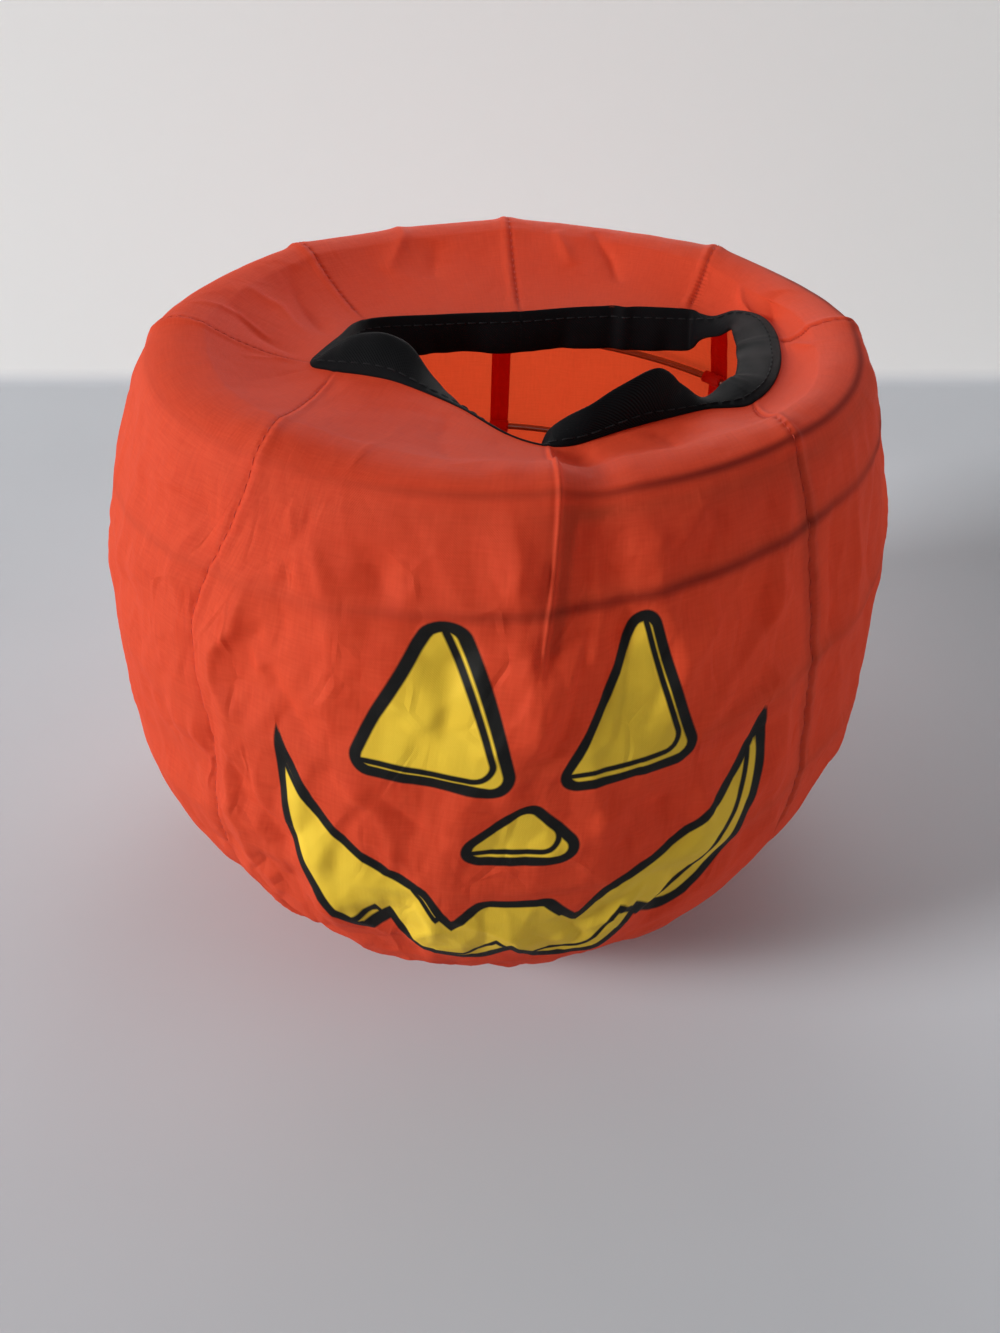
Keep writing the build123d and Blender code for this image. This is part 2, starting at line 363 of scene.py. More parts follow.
class Shader:
    """A material, or a world, under construction."""

    def __init__(self, owner: str | bpy.types.World) -> None:
        """Starts an empty node tree in a new material of that name, or in the world given."""
        self.owner = bpy.data.materials.new(owner) if isinstance(owner, str) else owner
        self.owner.use_nodes = True
        self.tree = self.owner.node_tree
        self.tree.nodes.clear()

    def node(self, kind: str, settings: dict, inputs: dict, output: int | str = 0) -> Socket:
        """Adds a node.

        Args:
            kind: the node's type without its ShaderNode prefix.
            settings: properties to set first.
            inputs: values or sockets by input name or number.
            output: which output to return.

        Returns:
            The chosen output.
        """
        made = self.tree.nodes.new("ShaderNode" + kind)
        for key, value in settings.items():
            setattr(made, key, value)
        for key, value in inputs.items():
            if isinstance(value, Socket):
                self.tree.links.new(value.socket, made.inputs[key])
            else:
                made.inputs[key].default_value = value
        return Socket(self, made.outputs[output])

    def math(self, operation: str, first: Socket | float, second: Socket | float) -> Socket:
        """Adds a Math node."""
        return self.node("Math", {"operation": operation}, {0: first, 1: second})

    def mix(self, share: Socket | float, first: Socket | Colour, second: Socket | Colour) -> Socket:
        """Blend of two colours."""
        inputs = {0: share, 6: first, 7: second}
        return self.node("Mix", {"data_type": "RGBA"}, inputs, 2)

    def attribute(self, name: str) -> Socket:
        """A number stored on the mesh."""
        return self.node("Attribute", {"attribute_name": name}, {}, "Fac")

    def object_place(self) -> Socket:
        """Place in the piece's own frame."""
        return self.node("TexCoord", {}, {}, "Object")

    def cloth_place(self) -> Socket:
        """Place on the cloth, in metres."""
        return self.node("UVMap", {"uv_map": CLOTH_UV}, {})

    def noise(self, place: Socket, scale: float, detail: float = 2.0, stretch: Point = (1, 1, 1)) -> Socket:
        """Noise from 0 to 1, its place stretched first."""
        inputs = {"Vector": self.stretched(place, stretch), "Scale": scale, "Detail": detail}
        return self.node("TexNoise", {}, inputs)

    def stretched(self, place: Socket, factors: Point) -> Socket:
        """Place with each of its parts multiplied."""
        return self.node("VectorMath", {"operation": "MULTIPLY"}, {0: place, 1: factors})

    def bump(self, height: Socket, strength: float, distance: float) -> Socket:
        """Normal tilted by a height field, in metres."""
        return self.node("Bump", {}, {"Height": height, "Strength": strength, "Distance": distance})

    def principled(self, base: Socket, rough: Socket, normal: Socket, more: dict | None = None) -> Socket:
        """Opaque surface.

        Args:
            base: colour.
            rough: roughness.
            normal: bumped normal.
            more: other inputs that are the same all over, by name.

        Returns:
            The surface's socket.
        """
        inputs = {"Base Color": base, "Roughness": rough, "Normal": normal, **(more or {})}
        return self.node("BsdfPrincipled", {}, inputs)

    def blend(self, share: Socket | float, first: Socket, second: Socket) -> Socket:
        """Mixture of two surfaces."""
        return self.node("MixShader", {}, {0: share, 1: first, 2: second})

    def finish(self, surface: Socket, output: str = "OutputMaterial") -> bpy.types.Material | bpy.types.World:
        """Links the surface to an output node and returns the material or world."""
        target = self.tree.nodes.new("ShaderNode" + output)
        self.tree.links.new(surface.socket, target.inputs["Surface"])
        return self.owner


def weave(shader: Shader, pitch: float) -> Socket:
    """Plain weave as a height: the product of a wave along the warp and one along the weft.

    Args:
        shader: the material that it goes into.
        pitch: distance between threads, in metres.

    Returns:
        Height from -1 to 1.
    """
    place = shader.cloth_place()
    turn = 2 * np.pi / pitch
    return (place.axis(0) * turn).sine() * (place.axis(1) * turn).sine()


@dataclass(frozen=True)
class ThinCloth:
    """Thin woven polyester that lets some light through, with or without a print."""

    name: str
    colour: Colour = (0.790, 0.103, 0.039, 1.0)
    shade: Colour = (0.580, 0.046, 0.014, 1.0)
    glow: Colour = (0.930, 0.115, 0.034, 1.0)
    # Colour of painted shade: the wire's shadow seen through the cloth and shade along the seams.
    line: Colour = (0.160, 0.008, 0.004, 1.0)
    yellows: tuple[Colour, Colour] = ((0.820, 0.540, 0.036, 1.0), (0.890, 0.620, 0.050, 1.0))
    blacks: tuple[Colour, Colour] = ((0.003, 0.003, 0.003, 1.0), (0.008, 0.008, 0.007, 1.0))
    yellow_glow: Colour = (0.500, 0.240, 0.020, 1.0)
    black_glow: Colour = (0.004, 0.004, 0.004, 1.0)
    see_through: float = 0.34
    ink_block: float = 0.65
    pitch: float = 0.00042
    thread_height: float = 0.00012
    crease_stray: float = 0.006
    crease_end: Place = (0.150, 0.172)
    printed: bool = False
    outline: float = 1.25
    cut_line: float = 0.7
    ink_edge: float = 0.2

    def material(self) -> bpy.types.Material:
        """Builds the cloth: slubs, faint fading, painted shade lines at the wire and seams, and any print."""
        shader = Shader(self.name)
        cloth = shader.cloth_place()
        fade = shader.noise(shader.object_place(), 22.0, 3.0)
        slub = shader.noise(cloth, 1500.0, 2.0, (1.0, 0.10, 1.0))
        thread = shader.noise(cloth, 1700.0, 2.0, (0.10, 1.0, 1.0))
        base = shader.mix(fade * 0.35 + slub * 0.7 + thread * 0.7 - 0.33, self.shade, self.colour)
        # Painted shade: the cloth darkens towards the line colour by the stored wire shadow and seam shade.
        for dark in (WIRE_SHADE, SEAM_SHADE):
            base = shader.mix(shader.attribute(dark), base, self.line)
        # The light let through carries the wire's painted shadow too.
        through = shader.mix(shader.attribute(WIRE_SHADE), self.glow, self.line)
        rough = slub * 0.12 + 0.62
        height = weave(shader, self.pitch) * 0.5 + slub + thread + self.creasing(shader, cloth) * 30.0
        share = self.see_through
        if self.printed:
            yellow, ink = self.print_masks(shader)
            cover = shader.math("MAXIMUM", yellow, ink)
            mottle = shader.noise(cloth, 160.0, 4.0)
            base = shader.mix(yellow, base, shader.mix(mottle, *self.yellows))
            base = shader.mix(ink, base, shader.mix(mottle, *self.blacks))
            through = shader.mix(ink, shader.mix(yellow, through, self.yellow_glow), self.black_glow)
            rough = rough - cover * 0.10 + mottle * cover * 0.08
            height = height * (1 - cover * 0.45) + mottle * cover * 0.6
            share = (1 - cover * self.ink_block) * self.see_through
        normal = shader.bump(height, 0.5, self.thread_height)
        woven = shader.principled(base, rough, normal, {"Specular IOR Level": 0.17})
        light = shader.node("BsdfTranslucent", {}, {"Color": through})
        return shader.finish(shader.blend(share, woven, light))

    def creasing(self, shader: Shader, cloth: Socket) -> Socket:
        """Sharp storage creases as a height: ridges and valleys along the borders of bent cells of two sizes.

        Args:
            shader: the material.
            cloth: place on the cloth.

        Returns:
            Height about 0, whose sign and strength wander along each border; weaker over the top.
        """
        stray = shader.node("TexNoise", {}, {"Vector": cloth, "Scale": 55.0}, "Color")
        inputs = {0: stray, 1: (self.crease_stray, self.crease_stray, 0.0), 2: cloth}
        bent = shader.node("VectorMath", {"operation": "MULTIPLY_ADD"}, inputs)
        total = 0.0
        for scale, stretch in ((36.0, (1.0, 0.5, 1.0)), (78.0, (1.0, 0.7, 1.0))):
            inputs = {"Vector": shader.stretched(bent, stretch), "Scale": scale}
            edge = shader.node("TexVoronoi", {"feature": "DISTANCE_TO_EDGE"}, inputs)
            line = edge.ramp(0.0, 0.08, 1.0, 0.0)
            total = line * (shader.noise(cloth, scale * 0.8, 1.0) - 0.5) + total
        return total * cloth.axis(1).ramp(*self.crease_end, 1.0, 0.25)

    def print_masks(self, shader: Shader) -> tuple[Socket, Socket]:
        """Masks of the yellow fill and of the black lines: an outline, and a line at the cut's far edge."""
        shape = shader.attribute(PRINT_SHAPE)
        fill = shape.inside(self.ink_edge)
        outline = (shape.size() - self.outline).inside(self.ink_edge)
        cut = (shader.attribute(PRINT_CUT).size() - self.cut_line).inside(self.ink_edge)
        return fill, shader.math("MAXIMUM", outline, cut * fill)


@dataclass(frozen=True)
class FoldedTape:
    """Folded cloth tape of a deeper red, or thread, whose ribs run across it."""

    name: str
    dark: Colour = (0.660, 0.016, 0.005, 1.0)
    light: Colour = (0.840, 0.034, 0.009, 1.0)
    see_through: float = 0.40
    pitch: float = 0.0006
    thread_height: float = 0.00012

    def material(self) -> bpy.types.Material:
        """Builds the tape: close ribs and slubs."""
        shader = Shader(self.name)
        slub = shader.noise(shader.cloth_place(), 600.0, 3.0, (0.2, 1.0, 1.0))
        base = shader.mix(slub, self.dark, self.light)
        normal = shader.bump(weave(shader, self.pitch) + slub, 0.5, self.thread_height)
        woven = shader.principled(base, slub * 0.15 + 0.55, normal, {"Sheen Weight": 0.15})
        light = shader.node("BsdfTranslucent", {}, {"Color": self.light})
        return shader.finish(shader.blend(self.see_through, woven, light))


@dataclass(frozen=True)
class SatinBinding:
    """Black satin binding with a fine diagonal rib."""

    name: str
    dark: Colour = (0.0020, 0.0020, 0.0024, 1.0)
    light: Colour = (0.0042, 0.0042, 0.0050, 1.0)
    rib_pitch: float = 0.0007
    rib_height: float = 0.00015

    def material(self) -> bpy.types.Material:
        """Builds the binding: diagonal ribs, slubs and lint."""
        shader = Shader(self.name)
        cloth = shader.cloth_place()
        rib = ((cloth.axis(0) + cloth.axis(1) * 1.4) * (2 * np.pi / self.rib_pitch)).sine()
        slub = shader.noise(cloth, 420.0, 4.0, (0.3, 1.0, 1.0))
        base = shader.mix(slub, self.dark, self.light)
        normal = shader.bump(rib * 0.6 + slub, 0.5, self.rib_height)
        surface = shader.principled(base, slub * 0.18 + 0.55, normal, {"Specular IOR Level": 0.05})
        return shader.finish(surface)


@dataclass(frozen=True)
class DrawnSteel:
    """Drawn spring wire with fine draw marks and a little brown oil film."""

    name: str
    oiled: Colour = (0.20, 0.16, 0.13, 1.0)
    bare: Colour = (0.42, 0.40, 0.38, 1.0)
    mark_depth: float = 0.00005

    def material(self) -> bpy.types.Material:
        """Builds the steel."""
        shader = Shader(self.name)
        place = shader.object_place()
        film = shader.noise(place, 60.0, 4.0)
        marks = shader.noise(place, 2400.0, 2.0, (1.0, 1.0, 0.3))
        base = shader.mix(film, self.oiled, self.bare)
        normal = shader.bump(marks, 0.2, self.mark_depth)
        return shader.finish(shader.principled(base, film * 0.2 + 0.24, normal, {"Metallic": 1.0}))


@dataclass(frozen=True)
class SoftVinyl:
    """Black dipped vinyl."""

    name: str
    dark: Colour = (0.008, 0.008, 0.008, 1.0)
    worn: Colour = (0.035, 0.034, 0.033, 1.0)
    pebble_height: float = 0.0002

    def material(self) -> bpy.types.Material:
        """Builds the vinyl: a soft pebble and worn spots."""
        shader = Shader(self.name)
        wear = shader.noise(shader.object_place(), 300.0, 4.0)
        base = shader.mix(wear, self.dark, self.worn)
        return shader.finish(
            shader.principled(base, wear * 0.2 + 0.38, shader.bump(wear, 0.3, self.pebble_height))
        )


# The pail's form


@dataclass(frozen=True)
class Shell:
    """Outside sizes of the cloth along a seam, and how far a panel swells between its seams."""

    base_radius: float = 56.0
    belly_radius: float = 98.0
    belly_height: float = BELLY_HEIGHT
    shoulder_radius: float = 84.0
    shoulder_height: float = SHOULDER_HEIGHT
    belly_lobe: float = 2.5
    shoulder_lobe: float = -0.4

    def swell(self, azimuth: Array) -> Array:
        """Share of the swell: none at a seam, all of it midway, along a parabola."""
        half = GORE / 2
        return 1 - ((azimuth % GORE - half) / half) ** 2

    def arcs(self, height: Array, belly: Array | float, shoulder: Array | float, inset: float = 0.0) -> Array:
        """Distance from the axis along two arcs that are upright at the belly.

        One runs down to the base edge and one up to the shoulder.

        Args:
            height: heights on the wall.
            belly: distance from the axis at the belly.
            shoulder: distance from the axis at the shoulder.
            inset: how far inside the arcs to stay.

        Returns:
            One distance for each height.
        """
        low = height < self.belly_height
        reach = np.where(low, belly - self.base_radius, belly - shoulder)
        rise = np.where(low, self.belly_height, self.shoulder_height - self.belly_height)
        bend = (reach**2 + rise**2) / (2 * reach)
        return belly - bend + np.sqrt((bend - inset) ** 2 - (height - self.belly_height) ** 2)

    def radius(self, azimuth: Array, height: Array | float) -> Array:
        """Distance of the cloth from the axis, with the swell of its panel."""
        belly = self.belly_radius + self.belly_lobe * np.where(under_dart(azimuth), 1, self.swell(azimuth))
        return self.arcs(height, belly, self.shoulder_radius + self.shoulder_lobe * self.swell(azimuth))

    def seam_radius(self, height: Array, inset: float) -> Array:
        """Distance from the axis along a seam, a little inside the cloth."""
        return self.arcs(height, self.belly_radius, self.shoulder_radius, inset)


@dataclass(frozen=True)
class Wire:
    """Spring wire: a closed ring at the top, open turns down the wall and a closed ring at the base."""

    shell: Shell
    diameter: float = 2.0
    ring_top: float = 151.5
    ring_lift: float = 6.0
    ring_pitch: float = 5.0
    open_turns: int = 4
    turns: int = 6
    start: float = 135.0
    inset: float = 3.4
    end_tuck: float = 2.0
    end_run: float = 9.0
    points_per_turn: int = 120
    sides: int = 12

    def height(self, turn: Array) -> Array:
        """Height of the centre after so many turns from the upper end."""
        pitch = (self.ring_top - self.ring_lift - 2 * self.ring_pitch) / self.open_turns
        opened = np.clip(turn - 1, 0, self.open_turns)
        return self.ring_top - (turn - opened) * self.ring_pitch - opened * pitch

    def azimuth(self, turn: Array) -> Array:
        """Azimuth after so many turns; the wire runs clockwise seen from above."""
        return self.start - 360.0 * turn

    def turn_at(self, azimuth: Array) -> Array:
        """First turn, from 0 to 1, at which the wire passes an azimuth."""
        return ((self.start - np.asarray(azimuth, float)) / 360.0) % 1.0

    def centre(self, turn: Array) -> Array:
        """Centre line: a helix just inside the cloth whose end quarters tuck inwards."""
        to_end = np.minimum(turn, self.turns - turn)
        tuck = self.end_tuck * np.clip(1 - to_end * 4, 0, None) ** 2
        height = self.height(turn)
        radius = self.shell.seam_radius(height, self.inset) - tuck
        return ring_points(self.azimuth(turn), radius, height)

    def heading(self, turn: Array) -> Array:
        """Direction of the wire."""
        step = 1 / 16
        return unit(self.centre(turn + step) - self.centre(turn - step))

    def build(self) -> bpy.types.Object:
        """Tube along the helix with a straight run at each end."""
        turn = np.linspace(0, self.turns, self.turns * self.points_per_turn + 1)
        coil = self.centre(turn)
        run = np.linspace(1, 0.1, 6)[:, None] * self.end_run
        tip = coil[:1] - self.heading(turn[:1]) * run
        tail = coil[-1:] + self.heading(turn[-1:]) * run[::-1]
        path = np.concatenate((tip, coil, tail))
        radius = np.full(len(path), self.diameter / 2)
        points, faces = tube(path, radius, self.sides, path * (1, 1, 0))
        return mesh_piece("spring_wire_coil", points, faces)


@dataclass(frozen=True)
class WireCap:
    """Soft vinyl cap dipped over a cut end of the wire."""

    node: str
    wire: Wire
    turn: float
    outwards: int
    cover: float = 8.4
    radius: float = 1.78
    nose: float = 1.6

    def build(self) -> bpy.types.Object:
        """Sleeve along the wire's straight end: its rim is rolled a little and its nose is half an oval."""
        turn = np.array([self.turn])
        out = self.wire.heading(turn)[0] * self.outwards
        end = self.wire.centre(turn)[0] + out * self.wire.end_run
        sleeve = np.linspace(-self.cover, 0, 22)
        bend = np.linspace(0.1, 0.5 * np.pi - 0.02, 9)
        along = np.concatenate((sleeve, np.sin(bend) * self.nose))
        rolled = self.radius * (1 + 0.06 * bell(sleeve + self.cover - 0.5, 0.6))
        radius = np.concatenate((rolled, np.cos(bend) * self.radius))
        path = end + out * along[:, None]
        points, faces = tube(path, radius, 24, np.broadcast_to((0.0, 0.0, 1.0), path.shape))
        return mesh_piece(f"{self.node}_dip", points, faces)


@dataclass(frozen=True)
class MouthKey:
    """One place on the mouth: where the cloth's edge is sewn and where the binding's free edge lies."""

    azimuth: float
    sewn: Point
    free: Point


MOUTH_KEYS = (
    MouthKey(-180.0, (3.8, 36.4, 144.0), (4.0, 36.8, 133.2)),
    MouthKey(-157.5, (-17.6, 32.8, 144.5), (-16.8, 33.0, 133.8)),
    MouthKey(-135.0, (-36.7, 25.3, 146.0), (-33.5, 24.5, 135.8)),
    MouthKey(-112.5, (-41.9, 7.9, 148.0), (-36.0, 6.5, 139.5)),
    MouthKey(-90.0, (-46.1, -10.6, 149.5), (-41.5, -6.0, 148.5)),
    MouthKey(-45.0, (-39.9, -17.0, 150.0), (-37.2, -8.6, 154.6)),
    MouthKey(-39.0, (-33.2, -19.2, 150.0), (-30.0, -10.4, 156.0)),
    MouthKey(-34.0, (-26.7, -22.0, 150.0), (-23.0, -13.6, 155.0)),
    MouthKey(-28.0, (-19.8, -27.0, 149.8), (-16.4, -21.2, 149.4)),
    MouthKey(-20.0, (-10.2, -35.4, 149.3), (-7.4, -31.4, 143.6)),
    MouthKey(-11.0, (-0.7, -46.8, 149.0), (1.2, -43.2, 140.2)),
    MouthKey(-3.0, (6.3, -51.4, 148.6), (5.8, -46.8, 141.6)),
    MouthKey(3.0, (10.6, -51.8, 148.5), (8.6, -46.4, 149.6)),
    MouthKey(11.0, (17.0, -49.0, 148.5), (17.0, -46.2, 155.0)),
    MouthKey(22.5, (28.0, -43.0, 149.0), (30.4, -38.6, 159.6)),
    MouthKey(29.0, (35.6, -39.3, 149.3), (37.0, -34.4, 154.6)),
    MouthKey(35.5, (43.0, -36.2, 149.5), (42.4, -31.6, 150.4)),
    MouthKey(43.5, (52.3, -34.2, 149.5), (47.6, -26.4, 151.0)),
    MouthKey(60.0, (61.2, -19.8, 149.5), (51.8, -20.4, 150.0)),
    MouthKey(90.0, (66.3, 4.1, 149.0), (55.8, 0.6, 149.0)),
    MouthKey(101.0, (65.7, 19.2, 148.6), (56.6, 10.5, 148.2)),
    MouthKey(112.5, (60.2, 27.2, 147.6), (57.8, 19.8, 145.4)),
    MouthKey(121.0, (55.2, 30.2, 145.0), (55.4, 23.4, 142.6)),
    MouthKey(128.0, (52.2, 33.0, 144.6), (52.4, 28.8, 139.2)),
    MouthKey(135.0, (49.1, 36.0, 144.8), (50.0, 34.8, 134.2)),
    MouthKey(157.5, (25.5, 38.8, 144.5), (25.4, 39.2, 133.4)),
)


def mouth_line(azimuth: Array, free: bool = False) -> Array:
    """Points of the mouth's sewn edge, or of the binding's free edge, through the keys."""
    keys = np.array([key.azimuth for key in MOUTH_KEYS])
    return closed_spline(keys, np.array([key.free if free else key.sewn for key in MOUTH_KEYS]), azimuth)


@dataclass(frozen=True)
class Fold:
    """A crease in the cloth along a line of places, each an azimuth and millimetres of path up the cloth.

    A positive height stands out and a negative one is a valley. The flank on the line's left, going along it,
    is wider by the skew.
    """

    line: tuple[Place, ...]
    width: float
    height: float
    skew: float = 0.0


FOLDS = (
    # Spread of the face panel below the dart
    Fold(((4.5, 146), (3.0, 134), (0.5, 120), (-1.5, 106)), 6.5, 2.4, -0.2),
    Fold(((6.0, 148), (5.0, 135), (4.4, 124), (1.0, 110)), 3.0, -1.2),
    Fold(((2.0, 148), (-2.0, 132), (-5.0, 116)), 5.0, -1.2),
    Fold(((11.0, 166), (11.5, 150), (12.0, 132)), 8.0, -1.2),
    Fold(((5.6, 164), (7.6, 148), (7.0, 138)), 2.6, 0.9),
    Fold(((0.9, 171), (-1.3, 159), (-2.0, 150)), 2.0, 0.8),
    Fold(((2.8, 170), (1.7, 159)), 1.6, 0.6),
    Fold(((-5.0, 157), (0.1, 151), (3.5, 146)), 1.6, 0.7),
    Fold(((3.0, 157), (0.1, 151), (-2.3, 137)), 2.0, 0.9),
    Fold(((-7.0, 163), (-4.0, 152), (-5.0, 142)), 3.5, -0.9),
    # Left half of the face panel
    Fold(
        ((-37.2, 151), (-36.8, 136), (-40.0, 128), (-40.4, 121), (-38.6, 116), (-33.4, 113)), 4.5, 2.2, -0.5
    ),
    Fold(((-28.5, 163), (-25.7, 158), (-22.4, 148), (-21.7, 136), (-21.7, 124)), 2.6, 1.1, 0.2),
    Fold(((-29.5, 159), (-27.4, 152), (-25.3, 148), (-25.2, 143)), 1.8, 0.8),
    Fold(((-25.0, 215), (-24.0, 190), (-23.7, 172), (-20.8, 158), (-21.6, 149)), 0.9, 0.25),
    Fold(((-13.6, 156), (-15.7, 146)), 1.8, 0.8),
    Fold(((-31.0, 131), (-27.5, 124), (-23.0, 114)), 4.5, -1.7),
    Fold(((-33.7, 136), (-32.5, 131), (-30.0, 127)), 1.8, 0.9),
    Fold(((-36.0, 108), (-34.0, 98), (-30.0, 90)), 4.0, 1.0, 0.3),
    Fold(((-42.0, 108), (-38.0, 94), (-38.0, 80)), 5.0, -1.2),
    Fold(((-31.0, 152), (-29.0, 140), (-30.0, 132)), 3.0, -0.8),
    Fold(((-18.0, 162), (-17.0, 150), (-19.0, 140)), 3.0, -0.8),
    Fold(((-34.0, 166), (-30.0, 160)), 1.6, 0.6),
    # Below the eyes and round the nose
    Fold(((-21.0, 112), (-15.0, 104), (-13.0, 96)), 2.4, 0.9),
    Fold(((-16.0, 110), (-10.0, 100), (-6.0, 98)), 2.2, -0.9),
    Fold(((-19.0, 97), (-12.0, 90), (-9.0, 82)), 3.0, 1.0, 0.3),
    Fold(((-13.0, 98), (-13.0, 88), (-16.0, 80)), 1.6, 0.7),
    Fold(((-4.0, 84), (4.0, 80), (14.0, 82)), 3.0, -0.8),
    Fold(((12.0, 104), (18.0, 94), (17.0, 86)), 2.4, 0.9),
    Fold(((18.0, 106), (23.0, 98), (25.0, 88)), 3.0, -1.0),
    Fold(((10.0, 90), (16.0, 80), (17.0, 70)), 2.0, 0.8),
    Fold(((-10.0, 78), (-8.0, 68), (-12.0, 58)), 2.0, 0.8),
    Fold(((-6.0, 74), (3.0, 64), (4.0, 54)), 1.8, 0.8),
    Fold(((8.0, 72), (12.0, 62), (9.0, 52)), 1.8, -0.8),
    Fold(((-20.0, 80), (-18.0, 66), (-14.0, 58)), 1.6, 0.7),
    Fold(((20.0, 80), (16.0, 68), (12.0, 64)), 1.8, 0.8),
    # Right half of the face panel
    Fold(((32.0, 150), (25.0, 139), (25.1, 123)), 3.2, 1.1, -0.3),
    Fold(((40.4, 144), (27.7, 127), (24.2, 118)), 3.6, 1.2, -0.3),
    Fold(((31.3, 130), (24.0, 117)), 2.2, 0.9),
    Fold(((44.0, 124), (35.6, 121), (27.7, 119), (23.0, 114)), 4.5, 1.9, 0.5),
    Fold(((43.0, 114), (34.0, 110), (27.0, 106)), 5.0, -1.3),
    Fold(((36.0, 158), (30.0, 144)), 4.0, -0.8),
    Fold(((38.0, 104), (34.0, 92), (36.0, 78)), 3.5, 0.9),
    # Gores on the left
    Fold(((-55.8, 153), (-56.6, 143), (-57.5, 132)), 2.2, 1.0, 0.3),
    Fold(((-49.5, 156), (-50.5, 146), (-51.0, 136)), 2.2, 0.9, 0.3),
    Fold(((-66.0, 154), (-58.0, 158), (-50.0, 162)), 1.6, 0.7),
    Fold(((-63.0, 150), (-63.5, 138), (-66.0, 126)), 2.4, 0.9),
    Fold(((-74.0, 158), (-72.0, 140), (-76.0, 122)), 3.0, 1.0, 0.4),
    Fold(((-82.0, 152), (-84.0, 132), (-80.0, 112)), 3.5, -1.1),
    Fold(((-52.0, 122), (-56.0, 104), (-54.0, 86)), 4.0, 1.1),
    Fold(((-66.0, 116), (-70.0, 96), (-66.0, 76)), 4.0, -1.1),
    Fold(((-76.0, 98), (-72.0, 80), (-74.0, 62)), 3.0, 0.9),
    # Gores on the right
    Fold(((57.2, 168), (56.0, 144), (56.7, 120)), 3.0, 1.2, 0.4),
    Fold(((51.0, 164), (50.5, 140), (50.0, 112)), 4.0, -1.5),
    Fold(((66.0, 158), (64.0, 134), (66.0, 106)), 4.0, -1.2),
    Fold(((74.0, 160), (76.0, 136), (72.0, 112)), 3.0, 1.1),
    Fold(((82.0, 144), (80.0, 120), (84.0, 98)), 3.5, 1.1),
    Fold(((60.0, 110), (66.0, 92), (62.0, 70)), 4.0, 1.0),
    # Gores at the back
    Fold(((108.0, 160), (114.0, 136), (112.0, 104)), 3.5, 1.1),
    Fold(((124.0, 150), (120.0, 124), (124.0, 92)), 4.0, -1.2),
    Fold(((150.0, 160), (156.0, 132), (152.0, 106)), 3.5, 1.1),
    Fold(((168.0, 152), (164.0, 124), (168.0, 94)), 4.0, -1.2),
    Fold(((-170.0, 160), (-164.0, 136), (-168.0, 108)), 3.5, 1.1),
    Fold(((-150.0, 150), (-156.0, 122), (-150.0, 92)), 4.0, -1.2),
    Fold(((-126.0, 160), (-120.0, 132), (-122.0, 106)), 3.5, 1.1),
    Fold(((-104.0, 150), (-108.0, 122), (-102.0, 92)), 4.0, -1.2),
    Fold(((142.0, 96), (150.0, 74), (146.0, 52)), 3.5, 1.0),
    Fold(((-142.0, 94), (-132.0, 72), (-136.0, 50)), 3.5, 1.0),
    # Slack top
    Fold(((-58.0, 186), (-64.0, 206), (-70.0, 226)), 6.0, -0.4),
    Fold(((-80.0, 200), (-86.0, 214), (-89.0, 224)), 2.0, 0.5),
    Fold(((-106.0, 182), (-99.0, 204), (-94.0, 224)), 6.0, -1.0),
    Fold(((-98.0, 178), (-103.0, 192), (-100.0, 208)), 1.6, 0.5),
    Fold(((-128.0, 186), (-120.0, 204), (-112.0, 222)), 7.0, -1.1),
    Fold(((-112.0, 184), (-114.0, 200), (-108.0, 216)), 3.0, 0.7),
    Fold(((-157.0, 170), (-157.0, 184), (-150.0, 200)), 3.0, 0.9),
    Fold(((-164.0, 188), (-160.0, 206)), 5.0, -0.7),
    Fold(((162.0, 182), (157.0, 194), (154.0, 208)), 2.6, -1.0),
    Fold(((170.0, 184), (166.0, 200)), 3.0, 0.8),
    Fold(((122.0, 186), (114.0, 204), (108.0, 222)), 3.0, 1.2),
    Fold(((110.0, 182), (104.0, 200), (100.0, 216)), 4.0, -1.2),
    Fold(((80.0, 186), (86.0, 204), (88.0, 222)), 4.0, 1.0),
    Fold(((-12.0, 184), (-18.0, 204), (-20.0, 224)), 6.0, -0.9),
    Fold(((24.0, 184), (26.0, 204), (24.0, 222)), 6.0, -0.9),
)


SEAM_DRIFT = (
    (-45.0, (0, 80, 106, 124, 133, 148, 163, 173, 190), (0, 2.5, 5.0, 0.6, 0.2, 4.4, 8.6, 10.5, 10.0)),
    (0.0, (95, 143, 173, 190), (0, 4.7, 6.4, 6.0)),
    (45.0, (0, 77, 110, 147, 161, 173, 190), (1.5, 3.2, 1.6, -1.1, -2.2, -4.0, -5.5)),
)


